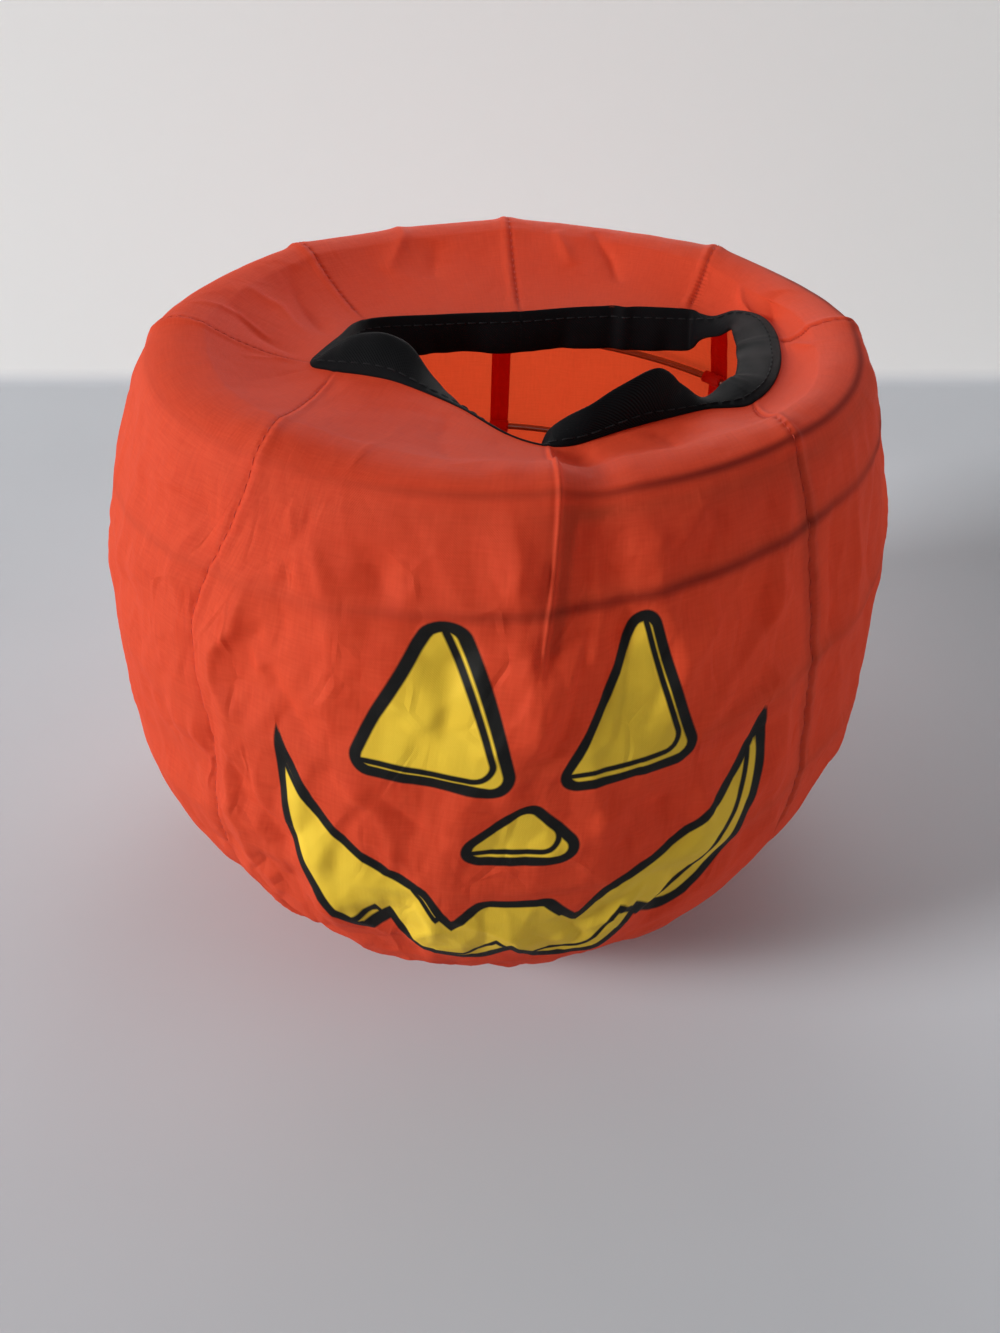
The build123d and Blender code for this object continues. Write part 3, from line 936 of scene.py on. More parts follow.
@dataclass(frozen=True)
class Cloth:
    """The sewn cloth as one surface, which the panels, tapes and binding all read."""

    shell: Shell
    wire: Wire
    rim_height: float = 147.0
    corner_height: float = 159.4
    crest_dip: float = 1.6
    turn_reach: float = 13.0
    top_sag: float = 1.4
    turn_path: float = 22.0
    top_path: float = 40.0
    degree: float = 1.71
    dart_foot: float = 141.0
    dart_fade: float = 5.0
    ring_climb: float = 7.0
    climb_start: float = 140.0
    rim_top: float = 174.0
    rim_nub: float = 0.6
    slump: Place = (2.6, -1.2)
    slump_path: Place = (132.0, 92.0)
    slump_spread: Place = (34.0, 40.0)
    wire_ridge: float = 0.22
    wire_sag: float = 0.4
    full_sag_room: float = 34.0
    wall_end: Place = (176.0, 188.0)
    stitch_pitch: float = 2.8
    pucker_end: Place = (166.0, 178.0)
    drift_reach: float = 15.0
    fold_strength: float = 1.15
    fold_reach: float = 30.0
    large_crumple: Point = (20.0, 20.0, 34.0)
    small_crumple: Point = (9.0, 9.0, 15.0)
    crumple_end: Place = (158.0, 176.0)
    slackest: float = -12.0
    slack_reach: Place = (30.0, 70.0)
    hem: float = 9.0

    def wall_path(self) -> tuple[Array, Array]:
        """Heights up a seam and the length of path that leads to each."""
        heights = np.linspace(0, self.shell.shoulder_height, 600)
        radius = self.shell.seam_radius(heights, 0.0)
        steps = np.hypot(np.diff(heights), np.diff(radius))
        return heights, np.concatenate(([0.0], np.cumsum(steps)))

    def path(self, row: Array) -> Array:
        """Millimetres of path up the cloth at a row."""
        turned = np.clip(row - 1, 0, 1) * self.turn_path
        climbed = np.clip(row, 0, 1) * self.path_at(self.rim_height)
        return climbed + turned + np.clip(row - 2, 0, 1) * self.top_path

    def path_at(self, height: Array | float) -> Array:
        """Millimetres of path up a seam to a height on the wall."""
        return np.interp(height, *self.wall_path())

    def row_at(self, path: Array) -> Array:
        """Rows at which the cloth's path has given lengths."""
        rows = np.linspace(0, 3, 3000)
        return np.interp(path, self.path(rows), rows)

    def drift(self, azimuth: Array, path: Array) -> Array:
        """Degrees by which slack lets the front seams and the dart wander, each fading out beside itself."""
        turned = wrap(azimuth)
        total = np.zeros_like(path)
        grid = np.arange(-30.0, 261.0)
        pad = 20
        blur = bell(np.arange(-pad, pad + 1), 8.0)
        for seam, paths, degrees in SEAM_DRIFT:
            rough = np.interp(grid, paths, degrees)
            smooth = np.convolve(np.pad(rough, pad, "edge"), blur / blur.sum(), "valid")
            total += bell(turned - seam, self.drift_reach) * np.interp(path, grid, smooth)
        return total

    def base(self, azimuth: Array, row: Array) -> Array:
        """Cloth without creases.

        The wall follows the shell. A parabola then turns over the ring, from the rim towards the mouth, and a
        straight span with a slight sag runs on to the mouth's edge.
        """
        heights, lengths = self.wall_path()
        rim_path = self.path_at(self.rim_height)
        height = np.interp(np.clip(row, 0, 1) * rim_path, lengths, heights)
        turned_to = azimuth + self.drift(azimuth, self.path(row))
        wall = ring_points(turned_to, self.shell.radius(azimuth, height), height)
        rim_radius = self.shell.radius(azimuth, self.rim_height)
        slope = rim_radius - self.shell.radius(azimuth, self.rim_height - 1)
        lean = slope * (self.corner_height - self.rim_height)
        over_ring = np.clip(self.path(row), rim_path, rim_path + self.turn_path)
        turned_to = azimuth + self.drift(azimuth, over_ring)
        rim = ring_points(turned_to, rim_radius, self.rim_height)
        crest = self.corner_height - self.crest_dip * self.shell.swell(azimuth)
        corner = ring_points(turned_to, rim_radius + lean, crest)
        mouth = mouth_line(azimuth)
        turned = corner + unit(mouth - corner) * self.turn_reach
        t = np.clip(row - 1, 0, 1)[..., None]
        over = (1 - t) ** 2 * rim + 2 * t * (1 - t) * corner + t**2 * turned
        t = np.clip(row - 2, 0, 1)[..., None]
        span = turned + (mouth - turned) * t
        span[..., 2] -= (self.top_sag * 4 * t * (1 - t))[..., 0]
        row = np.asarray(row)[..., None]
        return np.where(row <= 1, wall, np.where(row <= 2, over, span))

    def frame_at(self, azimuth: Array, row: Array) -> tuple[Array, Array, Array]:
        """Base points, outward normals and millimetres per degree, from small steps either way."""
        turn, climb = 0.2, 0.006
        across = self.base(azimuth + turn, row) - self.base(azimuth - turn, row)
        up = self.base(azimuth, np.minimum(row + climb, 3)) - self.base(azimuth, np.maximum(row - climb, 0))
        degree = np.linalg.norm(across, axis=-1) / (2 * turn)
        return self.base(azimuth, row), unit(np.cross(across, up)), degree

    def wire_distance(self, azimuth: Array, path: Array) -> tuple[Array, Array]:
        """How far up or down the nearest turn of the wire lies, and how far between two turns a place is."""
        turn = self.wire.turn_at(azimuth)
        height = self.wire.height(np.stack([turn + done for done in range(self.wire.turns)]))
        climb = self.ring_climb * smooth_step(self.climb_start, self.wire.ring_top, height)
        gap = path - self.path_at(height) - climb
        nearest = np.abs(gap).min(axis=0)
        above = np.where(gap <= 0, -gap, np.inf).min(axis=0)
        below = np.where(gap >= 0, gap, np.inf).min(axis=0)
        past_end = np.isinf(above) | np.isinf(below)
        share = np.where(past_end, 0, below / np.maximum(above + below, 1e-6))
        room = np.where(past_end, 0, above + below)
        return nearest, 4 * share * (1 - share) * np.clip(room / self.full_sag_room, 0, 1)

    def seam_offset(self, azimuth: Array, degree: Array, path: Array) -> tuple[Array, Array]:
        """Distance from the nearest seam, and how much of a seam there is: the front one is only a dart."""
        off = (azimuth + GORE / 2) % GORE - GORE / 2
        dart = smooth_step(self.dart_foot - self.dart_fade, self.dart_foot + self.dart_fade, path)
        return off * degree, np.where(under_dart(azimuth), dart, 1.0)

    def creases(self, azimuth: Array, path: Array) -> Array:
        """Sum of the listed folds: each falls off from its line by an exponential with a rounded top."""
        total = np.zeros_like(path)
        for fold in FOLDS:
            if np.abs(wrap(azimuth - fold.line[0][0])).min() < self.fold_reach:
                total += self.crease(fold, azimuth, path)
        return total

    def crease(self, fold: Fold, azimuth: Array, path: Array) -> Array:
        """Height of one fold: full at the middle of its line and nothing at its ends."""
        places = np.array(fold.line) * (self.degree, 1)
        steps = np.diff(places, axis=0)
        lengths = np.hypot(*steps.T)
        begun = np.concatenate(([0.0], np.cumsum(lengths)))
        first = fold.line[0][0]
        offset = np.stack((wrap(azimuth - first) * self.degree, path), axis=-1)
        away = np.full(path.shape, np.inf)
        share = np.zeros_like(path)
        side = np.zeros_like(path)
        for place, step, length, start in zip(places, steps, lengths, begun):
            gap = offset - (place - (first * self.degree, 0))
            along = np.clip(gap @ step / length**2, 0, 1)
            distance = np.linalg.norm(gap - along[..., None] * step, axis=-1)
            nearer = distance < away
            away = np.where(nearer, distance, away)
            share = np.where(nearer, (start + along * length) / begun[-1], share)
            side = np.where(nearer, np.sign(gap[..., 0] * step[1] - gap[..., 1] * step[0]), side)
        width = fold.width * (1 - fold.skew * side)
        round_top = 0.15 * fold.width
        fall = np.exp(-(np.sqrt(away**2 + round_top**2) - round_top) / width)
        return self.fold_strength * fold.height * fall * np.sin(np.pi * share) ** 0.6

    def crumple(self, points: Array) -> Array:
        """Storage creases: facets of two sizes, longer upwards, over slow swells, stronger in patches."""
        warp = np.stack([smooth_noise(points / 30, 50 + axis) for axis in range(3)], axis=-1) * 5
        bent = points + warp
        large_cell, small_cell = bent / self.large_crumple, bent / self.small_crumple
        large = facets(large_cell, 11) - facets(large_cell, 23)
        small = facets(small_cell, 31) - facets(small_cell, 43)
        patch = np.clip(0.8 + 0.6 * smooth_noise(points / 42, 71), 0.4, 1.2)
        slow = smooth_noise(points / 55, 5)
        return 3.6 * large * patch + 1.7 * small * patch + 0.5 * slow

    def sewn(self, azimuth: Array, path: Array, off: Array) -> Array:
        """Relief of the sewing: a groove with stitches and puckers at a seam, a ridge at the dart."""
        pucker = np.sin(path * 0.78 + 2.1 * np.sin(path * 0.17)) * np.exp(-np.abs(off) / 6)
        pucker = pucker * (1 - 0.75 * smooth_step(*self.pucker_end, path))
        groove = 0.3 * bell(off - 1.5, 1.1) - 0.22 * bell(off, 0.7) - 0.2 * np.exp(-np.abs(off) / 4)
        nub = self.rim_nub * bell(off, 3.0) * bell(path - self.rim_top, 8.0)
        stitch = 0.12 * np.sin(path * 2 * np.pi / self.stitch_pitch) * bell(off, 1.2)
        ridge = 0.9 * bell(off + 0.1, 0.55) + 0.3 * bell(off + 1.5, 1.8) - 1.5 * bell(off - 6.0, 5.0)
        return np.where(under_dart(azimuth), ridge + 0.15 * pucker, groove + 0.16 * pucker + nub + stitch)

    def slumped(self, azimuth: Array, path: Array) -> Array:
        """How far the slack cloth bulges on the left and falls in on the right."""
        side = np.sin(np.radians(azimuth))
        rows = zip(self.slump, self.slump_path, self.slump_spread)
        left, right = [depth * bell(path - middle, spread) for depth, middle, spread in rows]
        return np.where(side < 0, left, right) * side**2

    def relief(self, azimuth: Array, row: Array, points: Array, degree: Array) -> Array:
        """Height of the cloth over its base: sag between wires, seams, dart, folds and crumples."""
        path = self.path(row)
        nearest, between = self.wire_distance(azimuth, path)
        on_wall = 1 - smooth_step(*self.wall_end, path)
        tent = (self.wire_ridge * bell(nearest, 3.0) - self.wire_sag * between) * on_wall
        off, seam = self.seam_offset(azimuth, degree, path)
        calm = 1 - 0.75 * bell(off, 5.0) * seam
        off_edges = smooth_step(0, self.hem, path) * (1 - 0.8 * smooth_step(2.75, 3.0, row))
        slack = 1 - 0.6 * smooth_step(*self.slack_reach, np.abs(wrap(azimuth - self.slackest)))
        slack = slack * (1 - 0.75 * smooth_step(*self.crumple_end, path))
        loose = self.creases(azimuth, path) + self.crumple(points) * slack
        held = 1 - 0.6 * bell(nearest, 4.0) * on_wall
        fixed = tent + self.sewn(azimuth, path, off) * seam + self.slumped(azimuth, path)
        return (fixed + loose * calm * held) * off_edges

    def points(self, azimuth: Array, row: Array, inset: float = 0.0) -> Array:
        """Finished cloth: the base moved along its normal by the relief, less an inset."""
        base, normal, degree = self.frame_at(azimuth, row)
        return base + normal * (self.relief(azimuth, row, base, degree) - inset)[..., None]


# The printed face


def polygon_distance(x: Array, y: Array, corners: tuple[Place, ...]) -> Array:
    """Signed distance to a polygon: negative inside, by crossing count over its edges."""
    nearest = np.full(x.shape, np.inf)
    inside = np.zeros(x.shape, bool)
    for (ax, ay), (bx, by) in zip(corners, corners[1:] + corners[:1]):
        dx, dy = bx - ax, by - ay
        along = np.clip(((x - ax) * dx + (y - ay) * dy) / (dx * dx + dy * dy), 0, 1)
        nearest = np.minimum(nearest, np.hypot(x - ax - along * dx, y - ay - along * dy))
        crosses = ((ay > y) != (by > y)) & (x < ax + (y - ay) * dx / (dy if dy else 1e-9))
        inside ^= crosses
    return np.where(inside, -nearest, nearest)


@dataclass(frozen=True)
class PrintedFace:
    """A plain carved grin: three-cornered eyes and nose, and a crescent mouth with pointed teeth.

    Places are millimetres on the cloth: to the right of the face's middle, and up from the belly.
    """

    middle: float = 2.5
    eye: tuple[Place, ...] = ((9.5, 31.0), (32.0, 33.5), (20.5, 60.0))
    nose: tuple[Place, ...] = ((-8.0, 11.5), (8.0, 11.5), (0.0, 19.0))
    soft: float = 3.4
    grin_half: float = 55.0
    grin_corner: float = 24.0
    grin_foot: float = -33.0
    grin_top: float = -6.0
    tooth: Place = (6.5, 9.0)
    upper_teeth: float = 14.0
    lower_teeth: float = 28.0
    round_corner: float = 0.6
    cut: Place = (-3.6, 2.6)

    def arc(self, x: Array, y: Array, half: float, low: float) -> Array:
        """Signed distance to the circle through the grin's corners and its low point."""
        drop = self.grin_corner - low
        radius = (half**2 + drop**2) / (2 * drop)
        return np.hypot(x, y - low - radius) - radius

    def both(self, first: Array, second: Array) -> Array:
        """Signed distance to where two shapes overlap, with its corners rounded."""
        return np.logaddexp(first / self.round_corner, second / self.round_corner) * self.round_corner

    def shape(self, x: Array, y: Array) -> Array:
        """Signed distance to the eyes, nose and toothed grin together."""
        eyes = polygon_distance(np.abs(x), y, self.eye) - self.soft
        nose = polygon_distance(x, y, self.nose) - self.soft
        lower = self.arc(x, y, self.grin_half, self.grin_foot)
        upper = self.arc(x, y, self.grin_half - 4, self.grin_top)
        grin = self.both(lower, -upper)
        aside = np.abs(x)
        grin = self.both(grin, -self.fang(aside - self.upper_teeth, upper))
        for place in (0.0, self.lower_teeth):
            grin = self.both(grin, -self.fang(aside - place, -lower))
        return np.minimum(np.minimum(eyes, nose), grin)

    def fang(self, aside: Array, depth: Array) -> Array:
        """Signed distance to a pointed tooth that narrows evenly over its depth."""
        half, deep = self.tooth
        return (np.abs(aside) - half * (1 - depth / deep)) / np.hypot(1, half / deep)

    def layers(self, azimuth: Array, path: Array, radius: Array, belly_path: float) -> tuple[Array, Array]:
        """Signed distances of the shapes, and of the same shapes moved to where a cut's far edge would show.

        Args:
            azimuth: azimuths on the face panel.
            path: millimetres of path up the cloth.
            radius: distance from the axis.
            belly_path: path to the belly.

        Returns:
            Both distances, negative inside.
        """
        x = np.radians(azimuth - self.middle) * radius
        y = path - belly_path
        return self.shape(x, y), self.shape(x - self.cut[0], y - self.cut[1])


# Pieces


@dataclass
class Panel:
    """One sewn cloth panel between two seams."""

    node: str
    first: float
    last: float
    flat: Place
    area: float
    cloth: Cloth
    finish: ThinCloth
    # Widths and fades of the painted shade, in millimetres of path.
    wire_shadow_width: float = 1.3
    wire_shadow_start: Place = (116.0, 142.0)
    wire_shadow_end: Place = (180.0, 186.0)
    seam_shade_width: float = 0.55
    seam_shade_deeper: Place = (176.0, 190.0)
    spacing: float = 0.75
    wall_rows: int = 230
    turn_rows: int = 34
    top_rows: int = 62

    def rows(self) -> Array:
        """Rows of the grid, closer where the cloth turns over the ring."""
        wall = np.linspace(0, 1, self.wall_rows, endpoint=False)
        turn = np.linspace(1, 2, self.turn_rows, endpoint=False)
        return np.concatenate((wall, turn, np.linspace(2, 3, self.top_rows)))

    def columns(self) -> Array:
        """Azimuths of the grid, closer at the seams and at the dart."""
        gores = round((self.last - self.first) / GORE)
        wide = np.radians(self.last - self.first) * self.cloth.shell.belly_radius
        share = np.linspace(0, 1, int(wide / self.spacing) + 1)
        turn = 2 * np.pi * gores
        share = share - 0.45 * np.sin(turn * share) / turn
        return self.first + (self.last - self.first) * share

    def build(self) -> bpy.types.Object:
        """Makes the panel's mesh with its cloth places and shades."""
        azimuth, row = np.meshgrid(self.columns(), self.rows())
        points = self.cloth.points(azimuth, row)
        path = self.cloth.path(row)
        uv = np.stack((azimuth * self.cloth.degree, path), axis=-1) * MM
        faces = grid_faces(*azimuth.shape)
        piece = mesh_piece(f"{self.node}_cloth", points.reshape(-1, 3), faces, uv.reshape(-1, 2))
        self.shade(piece, azimuth, row, path)
        if self.finish.printed:
            self.print_face(piece, azimuth, path, np.hypot(points[..., 0], points[..., 1]))
        piece.data.materials.append(self.finish.material())
        return piece

    def shade(self, piece: bpy.types.Object, azimuth: Array, row: Array, path: Array) -> None:
        """Stores painted shade: the wire's shadow through the cloth and shade along the seams."""
        nearest, _ = self.cloth.wire_distance(azimuth, path)
        # The wire's painted shadow: strongest on the side away from the key light, faded low down and over
        # the top.
        away_from_light = 0.12 + 0.78 * smooth_step(-30, 30, np.where(np.abs(wrap(azimuth)) < 120, wrap(azimuth), 0))
        place = ring_points(azimuth, self.cloth.shell.belly_radius, path)
        patch = 0.75 + 0.35 * smooth_noise(place / 26, 91)
        low = 0.06 + 0.94 * smooth_step(*self.wire_shadow_start, path)
        high = 1 - smooth_step(*self.wire_shadow_end, path)
        wire = bell(nearest, self.wire_shadow_width) * away_from_light * low * patch * high
        _, _, degree = self.cloth.frame_at(azimuth, row)
        off, seam = self.cloth.seam_offset(azimuth, degree, path)
        # Painted seam shade: faint on the left, where the key light falls, deeper on the other sides and over
        # the top.
        side = 0.02 + 0.20 * (np.sin(np.radians(azimuth)) > -0.3)
        side = side + 0.24 * smooth_step(*self.seam_shade_deeper, path)
        dark = bell(off, self.seam_shade_width) * seam * np.where(under_dart(azimuth), 0.10, side)
        add_attribute(piece, WIRE_SHADE, np.clip(wire, 0, 1))
        add_attribute(piece, SEAM_SHADE, dark)

    def print_face(self, piece: bpy.types.Object, azimuth: Array, path: Array, radius: Array) -> None:
        """Stores the printed face's signed distances."""
        shape, cut = PrintedFace().layers(azimuth, path, radius, self.cloth.path_at(BELLY_HEIGHT))
        add_attribute(piece, PRINT_SHAPE, shape)
        add_attribute(piece, PRINT_CUT, cut)


@dataclass
class Binding:
    """Black binding round the mouth, with its stitching."""

    cloth: Cloth
    width: float = 11.0
    thickness: float = 0.85
    edge_length: float = 316.0
    girth: float = 24.0
    columns: int = 900
    rows: int = 16
    stitch_inset: float = 2.4
    stitch_pitch: float = 3.0
    stitch_length: float = 2.1
    stitch_width: float = 0.34
    join: float = 151.0

    def around(self) -> Array:
        """Azimuths spaced evenly along the sewn edge."""
        azimuth = np.linspace(-180, 180, 4001)
        edge = self.cloth.points(azimuth, np.full_like(azimuth, 3.0))
        length = np.concatenate(([0.0], np.cumsum(np.linalg.norm(np.diff(edge, axis=0), axis=-1))))
        return np.interp(np.linspace(0, length[-1], self.columns, endpoint=False), length, azimuth)

    def strip(self, azimuth: Array, share: Array) -> Array:
        """Middle surface of the binding.

        A ruled surface from the sewn edge to the free edge, bowed by a parabola and slightly ruffled.
        """
        sewn = self.cloth.points(azimuth, np.full_like(azimuth, 3.0))
        across = mouth_line(azimuth, free=True) - sewn
        along = unit(mouth_line(azimuth + 0.5) - mouth_line(azimuth - 0.5))
        out = unit(np.cross(along, across))
        ruffle = smooth_noise(sewn / 12, 61) * 1.4 * share + smooth_noise(sewn / 4, 63) * 0.5 * share
        past_join = wrap(azimuth - self.join)
        join = 0.6 * bell(past_join * 0.9, 1.6) - 0.5 * bell(wrap(past_join - 3) * 0.9, 2.0)
        bow = 0.6 * 4 * share * (1 - share) + join
        return sewn + across * share[..., None] + out * (ruffle + bow)[..., None]

    def facing(self, azimuth: Array, share: Array) -> Array:
        """Directions in which the strip faces, from small steps either way."""
        step = self.strip(azimuth + 0.4, share) - self.strip(azimuth - 0.4, share)
        side = self.strip(azimuth, share + 0.03) - self.strip(azimuth, share - 0.03)
        return unit(np.cross(step, side))

    def build(self) -> list[bpy.types.Object]:
        """Makes the closed binding and the thread along it."""
        around = self.around()
        turn = np.linspace(0, 2 * np.pi, 2 * self.rows, endpoint=False)
        share = np.clip(0.5 - 0.53 * np.cos(turn), -0.02, 1.02)
        lift = np.clip(np.sin(turn) * 2.2, -1, 1) * self.thickness / 2
        azimuth, across = np.meshgrid(around, share)
        points = self.strip(azimuth, across) + self.facing(azimuth, across) * lift[:, None, None]
        points = np.concatenate((points, points[:1]))
        arc = np.linspace(0, self.edge_length, self.columns)
        uv = np.stack(np.meshgrid(arc, np.linspace(0, self.girth, len(points))), axis=-1) * MM
        faces = grid_faces(len(points), self.columns, close_columns=True)
        band = mesh_piece("mouth_binding", points.reshape(-1, 3), faces, uv.reshape(-1, 2))
        merge_doubles(band)
        band.data.materials.append(SatinBinding("black_satin").material())
        return [band, self.stitching(around)]

    def stitching(self, around: Array) -> bpy.types.Object:
        """Small thread loops on both faces of the binding, a little in from its sewn edge."""
        edge = mouth_line(around)
        length = np.linalg.norm(edge - np.roll(edge, 1, axis=0), axis=-1).sum()
        count = int(length / self.stitch_pitch)
        start = np.arange(count) / count
        reach = np.linspace(0, 1, 7)
        spot = (start[:, None] + reach * self.stitch_length / length) % 1.0
        azimuth = np.interp(spot * len(around), np.arange(len(around)), around)
        share = np.full_like(azimuth, self.stitch_inset / self.width)
        middle = self.strip(azimuth, share)
        normal = self.facing(azimuth, share)
        hump = (np.sin(np.pi * reach) ** 0.5 * 0.22 - 0.08 + self.thickness / 2)[None, :, None]
        sets = []
        for face in (1, -1):
            paths = middle + normal * hump * face
            for path, out in zip(paths, normal):
                sets.append(tube(path, np.full(len(path), self.stitch_width / 2), 6, out))
        thread = SatinBinding("black_thread", light=(0.03, 0.03, 0.032, 1.0))
        return joined_piece("mouth_stitching", sets, thread)


def merge_doubles(piece: bpy.types.Object) -> None:
    """Welds corners of a mesh that lie at one place."""
    work = bmesh.new()
    work.from_mesh(piece.data)
    bmesh.ops.remove_doubles(work, verts=work.verts, dist=1e-7)
    bmesh.ops.recalc_face_normals(work, faces=work.faces)
    work.to_mesh(piece.data)
    work.free()


def joined_piece(name: str, sets: list[tuple[Array, Array]], finish: object) -> bpy.types.Object:
    """One piece from several sets of points and faces, with places along each as its cloth places.

    Args:
        name: the piece's name.
        sets: points and faces of each small part.
        finish: the finish to dress it with.

    Returns:
        The dressed piece.
    """
    counts = np.cumsum([0] + [len(points) for points, _ in sets])
    points = np.concatenate([points for points, _ in sets])
    faces = np.concatenate([part + first for (_, part), first in zip(sets, counts)])
    uv = np.stack((points[:, 0] + points[:, 1], points[:, 2]), axis=-1) * MM
    piece = mesh_piece(name, points, faces, uv)
    piece.data.materials.append(finish.material())
    return piece


@dataclass
class SeamTape:
    """Tape down the inside of a seam, with a loop round the wire at each turn."""

    node: str
    seam: float
    cloth: Cloth
    finish: FoldedTape
    foot: float = 6.0
    top: float = 171.0
    width: float = 6.0
    thickness: float = 0.45
    gap: float = 0.35
    loop_radius: float = 1.75
    ring_radius: float = 90.0

    def build(self) -> bpy.types.Object:
        """Makes the tape and its loops as one piece."""
        sets = [self.strip()]
        wire = self.cloth.wire
        for turn in wire.turn_at(self.seam) + np.arange(wire.turns):
            clear_of_ends = 0.25 <= turn <= wire.turns - 0.25
            if clear_of_ends and self.cloth.path_at(wire.height(turn)) > self.foot:
                sets.append(self.loop(turn))
        return joined_piece(f"{self.node}_cloth", sets, self.finish)

    def strip(self) -> tuple[Array, Array]:
        """Thin flat tube that follows the cloth at a small inset; its long edges curl in slightly."""
        rows = self.cloth.row_at(np.linspace(self.foot, self.top, 260))
        turn = np.linspace(0, 2 * np.pi, 20, endpoint=False)
        across = np.clip(-1.05 * np.cos(turn), -1, 1) * self.width / 2
        depth = self.gap + self.thickness / 2 - np.clip(np.sin(turn) * 2, -1, 1) * self.thickness / 2
        row, aside = np.meshgrid(rows, across, indexing="ij")
        azimuth = self.seam + aside / self.cloth.degree
        _, _, degree = self.cloth.frame_at(azimuth, row)
        azimuth = self.seam + aside / degree
        base, normal, degree = self.cloth.frame_at(azimuth, row)
        relief = self.cloth.relief(azimuth, row, base, degree)
        points = base + normal * (np.minimum(relief, 0.3) - depth[None, :])[..., None]
        return points.reshape(-1, 3), grid_faces(len(rows), len(turn), close_columns=True)

    def loop(self, turn: float) -> tuple[Array, Array]:
        """Short sleeve round the wire: a ring section carried along the wire for the tape's width."""
        wire = self.cloth.wire
        reach = np.linspace(-0.5, 0.5, 7) * self.width / (2 * np.pi * self.ring_radius)
        path = wire.centre(turn + reach)
        return tube(path, np.full(len(path), self.loop_radius), 16, path * (1, 1, 0))


@dataclass
class Bottom:
    """Round cloth bottom with a turned hem."""

    cloth: Cloth
    finish: ThinCloth
    radius: float = 55.6
    rings: int = 70
    spokes: int = 240

    def build(self) -> bpy.types.Object:
        """Disc of rings and spokes, a little slack, that lies on the ground at its edge."""
        turn, share = np.meshgrid(np.linspace(0, 360, self.spokes, False), np.linspace(0.002, 1, self.rings))
        radius = share * self.radius
        flat = ring_points(turn, radius, np.zeros_like(radius))
        slack = 0.9 + 0.8 * self.cloth.crumple(flat + (0, 0, 400.0))
        height = 0.25 + np.clip(slack, 0, 3) * (1 - smooth_step(0.85, 1.0, share)) * 0.7
        points = ring_points(turn, radius, height)
        faces = grid_faces(self.rings, self.spokes, close_columns=True)
        uv = points.reshape(-1, 3)[:, :2] * MM
        piece = mesh_piece("bottom_cloth", points.reshape(-1, 3), faces, uv)
        for dark in (WIRE_SHADE, SEAM_SHADE):
            add_attribute(piece, dark, np.zeros(len(uv)))
        piece.data.materials.append(self.finish.material())
        return piece


@dataclass
class SeamThread:
    """Stitches that show in the grooves of the outer seams."""

    cloth: Cloth
    seams: tuple[float, ...] = (45.0, 90.0, 135.0, 180.0, -135.0, -90.0, -45.0)
    length: float = 1.7
    width: float = 0.24
    foot: float = 8.0
    top: float = 222.0

    def build(self) -> bpy.types.Object:
        """One short thread for each stitch, slightly proud of the groove."""
        pitch = self.cloth.stitch_pitch
        start = self.foot + np.arange(int((self.top - self.foot) / pitch)) * pitch
        row = self.cloth.row_at(start[:, None] + np.linspace(0, self.length, 5))
        radius = np.array((0.6, 1.0, 1.0, 1.0, 0.6)) * self.width / 2
        sets = []
        for seam in self.seams:
            for line in self.cloth.points(np.full_like(row, seam), row, inset=-0.05):
                sets.append(tube(line, radius, 5, line * (1, 1, 0)))
        thread = FoldedTape("red_thread", (0.58, 0.040, 0.012, 1.0), (0.74, 0.080, 0.028, 1.0))
        return joined_piece("seam_stitching", sets, thread)


# Stage


@dataclass(frozen=True)
class Lamp:
    """Square soft light that faces the pail: metres, watts, and degrees of spread."""

    name: str
    place: Point
    size: float
    power: float
    spread: float
    target: Point = (0, 0, 0.08)

    def build(self) -> None:
        """Adds the lamp, which the camera doesn't see."""
        data = bpy.data.lights.new(self.name, "AREA")
        data.size = self.size
        data.energy = self.power
        data.spread = np.radians(self.spread)
        lamp = bpy.data.objects.new(self.name, data)
        lamp.location = self.place
        lamp.visible_camera = False
        lamp.rotation_euler = (Vector(self.target) - Vector(self.place)).to_track_quat("-Z", "Y").to_euler()
        bpy.context.scene.collection.objects.link(lamp)


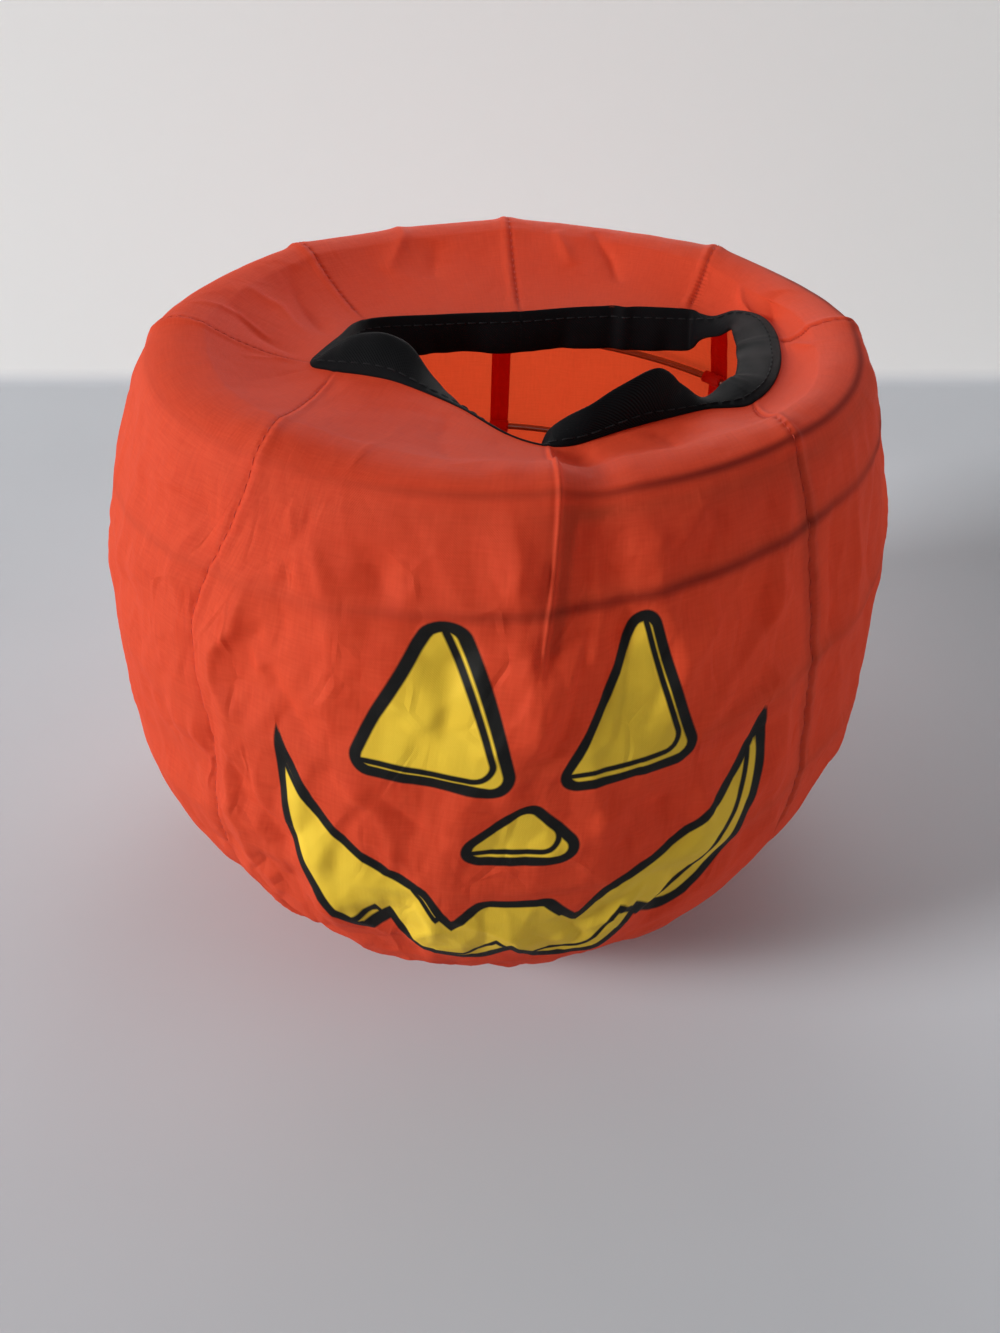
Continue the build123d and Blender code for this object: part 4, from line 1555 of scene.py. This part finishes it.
@dataclass(frozen=True)
class Studio:
    """Pale floor and wall, soft light from the left and a camera at the photograph's angle."""

    camera_place: Point = (0.00084, -0.268, 0.257)
    pitch: float = 37.5
    focal_pixels: float = 1150.0
    long_side: float = 1333.0
    sensor: float = 36.0
    wall_distance: float = 0.32
    wall_height: float = 2.5
    floor_front: float = -3.0
    floor_bend: float = 0.008
    half_width: float = 1.6
    table: tuple[Colour, Colour] = ((0.52, 0.54, 0.57, 1.0), (0.56, 0.58, 0.61, 1.0))
    wall: Colour = (0.86, 0.865, 0.85, 1.0)
    sky: Colour = (0.95, 0.97, 1.0, 1.0)
    world_light: float = 0.10
    world_seen: float = 0.62
    lamps: tuple[Lamp, ...] = (
        Lamp("key", (-2.60, -0.93, 1.13), 0.85, 13.8, 64.0),
        Lamp("fill", (1.7, -0.45, 0.70), 1.0, 3.3, 110.0),
        Lamp("back", (0.04, 0.29, 0.18), 0.22, 0.22, 110.0),
    )

    def build(self) -> None:
        """Makes the stage, lamps, world and camera."""
        self.floor()
        for lamp in self.lamps:
            lamp.build()
        self.world()
        self.camera()

    def floor(self) -> None:
        """Floor that curves up into a wall: a line, a quarter circle and a line carried along X.

        The wall shows from its front only, so that it doesn't hide the pail from a camera behind it.
        """
        bend = np.linspace(0, np.pi / 2, 24)
        radius = self.floor_bend
        curve = self.wall_distance - radius + radius * np.sin(bend)
        run = np.concatenate(([self.floor_front], curve, [self.wall_distance]))
        rise = np.concatenate(([0.0], radius - radius * np.cos(bend), [self.wall_height]))
        across = np.linspace(-self.half_width, self.half_width, 9)
        y, x = np.meshgrid(run, across, indexing="ij")
        z = np.repeat(rise[:, None], len(across), axis=1)
        points = np.stack((x, y, z), axis=-1).reshape(-1, 3) / MM
        piece = mesh_piece("studio_floor", points, grid_faces(len(run), len(across)), lean=0.0)
        shader = Shader("pale_floor")
        place = shader.object_place()
        on_wall = place.axis(2).ramp(0.001, self.floor_bend, 0.0, 1.0)
        base = shader.mix(on_wall, shader.mix(shader.noise(place, 9.0, 3.0), *self.table), self.wall)
        inputs = {"Base Color": base, "Roughness": 0.8, "Specular IOR Level": 0.05}
        surface = shader.node("BsdfPrincipled", {}, inputs)
        behind = shader.node("NewGeometry", {}, {}, "Backfacing")
        clear = shader.node("BsdfTransparent", {}, {})
        piece.data.materials.append(shader.finish(shader.blend(behind, surface, clear)))

    def world(self) -> None:
        """Even surroundings that the camera sees paler than they light the pail."""
        world = bpy.data.worlds.new("studio")
        shader = Shader(world)
        kinds = ("Camera", "Glossy", "Transmission")
        rays = [shader.node("LightPath", {}, {}, f"Is {kind} Ray") for kind in kinds]
        seen = shader.math("MAXIMUM", rays[0], shader.math("MAXIMUM", rays[1], rays[2]))
        level = shader.node("MapRange", {}, {0: seen, 3: self.world_light, 4: self.world_seen})
        shader.finish(shader.node("Background", {}, {0: self.sky, 1: level}), "OutputWorld")
        bpy.context.scene.world = world

    def camera(self) -> None:
        """Camera that looks along +Y and down."""
        data = bpy.data.cameras.new("camera")
        data.sensor_width = self.sensor
        data.lens = self.focal_pixels / self.long_side * self.sensor
        data.clip_start = 0.01
        camera = bpy.data.objects.new("camera", data)
        tilt = Euler((np.radians(90 - self.pitch), 0, 0)).to_matrix()
        camera.matrix_world = Matrix.Translation(self.camera_place) @ tilt.to_4x4()
        bpy.context.scene.collection.objects.link(camera)
        bpy.context.scene.camera = camera


@dataclass
class Pail:
    """The whole pail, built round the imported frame."""

    frame: dict
    cloth: Cloth = field(init=False)

    def __post_init__(self) -> None:
        """Sets up the shared cloth surface."""
        shell = Shell()
        self.cloth = Cloth(shell, Wire(shell))

    def fit(self, piece: bpy.types.Object, node: str | None = None) -> None:
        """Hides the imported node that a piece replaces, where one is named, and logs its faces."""
        if node:
            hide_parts(node)
        log.info("%s: %d faces", piece.name, len(piece.data.polygons))

    def collapse(self, piece: bpy.types.Object, body: Body) -> None:
        """Rides a soft piece on a body and gives it a mesh of its own.
        """
        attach(piece, body.value)
        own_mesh(piece)

    def panels(self) -> None:
        """Makes the face panel and the gores."""
        plain = ThinCloth("orange_polyester")
        printed = ThinCloth("printed_polyester", printed=True)
        gores = ("right_front", "right_rear", "right_back", "left_back", "left_rear", "left_front")
        made = [Panel("face_panel", -GORE, GORE, (0.166, 0.226), 0.0285, self.cloth, printed)]
        for number, side in enumerate(gores, start=1):
            first = GORE * number
            made.append(Panel(f"gore_{side}", first, first + GORE, (0.083, 0.226), 0.0142, self.cloth, plain))
        for panel in made:
            piece = panel.build()
            self.fit(piece, panel.node)
            self.collapse(piece, Body.PAIL)

    def bottom(self) -> None:
        """Makes the bottom."""
        piece = Bottom(self.cloth, ThinCloth("bottom_polyester")).build()
        self.fit(piece, "bottom")
        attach(piece, Body.PAIL.value)

    def spring(self) -> None:
        """Makes the wire and its end caps."""
        wire = self.cloth.wire
        piece = wire.build()
        piece.data.materials.append(DrawnSteel("drawn_steel").material())
        self.fit(piece, "spring_wire")
        self.collapse(piece, Body.PAIL)
        vinyl = SoftVinyl("black_vinyl_dip").material()
        upper = (WireCap("wire_cap_upper", wire, 0.0, -1), Body.MOUTH)
        lower = (WireCap("wire_cap_lower", wire, float(wire.turns), 1), Body.PAIL)
        for cap, body in (upper, lower):
            piece = cap.build()
            piece.data.materials.append(vinyl)
            self.fit(piece, cap.node)
            self.collapse(piece, body)

    def tapes(self) -> None:
        """Makes the tapes inside the seams and the stitches outside them."""
        finish = FoldedTape("deep_red_tape")
        places = ("front_right", "right", "rear_right", "rear", "rear_left", "left", "front_left")
        made = [SeamTape("dart_tape", 0.0, self.cloth, finish, foot=142.0)]
        for number, place in enumerate(places, start=1):
            made.append(SeamTape(f"seam_tape_{place}", GORE * number, self.cloth, finish))
        for tape in made:
            piece = tape.build()
            self.fit(piece, tape.node)
            self.collapse(piece, Body.PAIL)
        thread = SeamThread(self.cloth).build()
        self.fit(thread)
        self.collapse(thread, Body.PAIL)

    def binding(self) -> None:
        """Makes the mouth's binding and its stitches."""
        band, thread = Binding(self.cloth).build()
        for piece, node in ((band, "mouth_band"), (thread, None)):
            self.fit(piece, node)
            self.collapse(piece, Body.MOUTH)

    def build(self) -> None:
        """Makes every piece."""
        self.panels()
        self.bottom()
        self.spring()
        self.tapes()
        self.binding()


def main() -> None:
    """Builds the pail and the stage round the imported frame."""
    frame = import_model()
    bpy.context.scene.view_settings.view_transform = "Standard"
    Pail(frame).build()
    Studio().build()


if __name__ == "__main__":
    main()
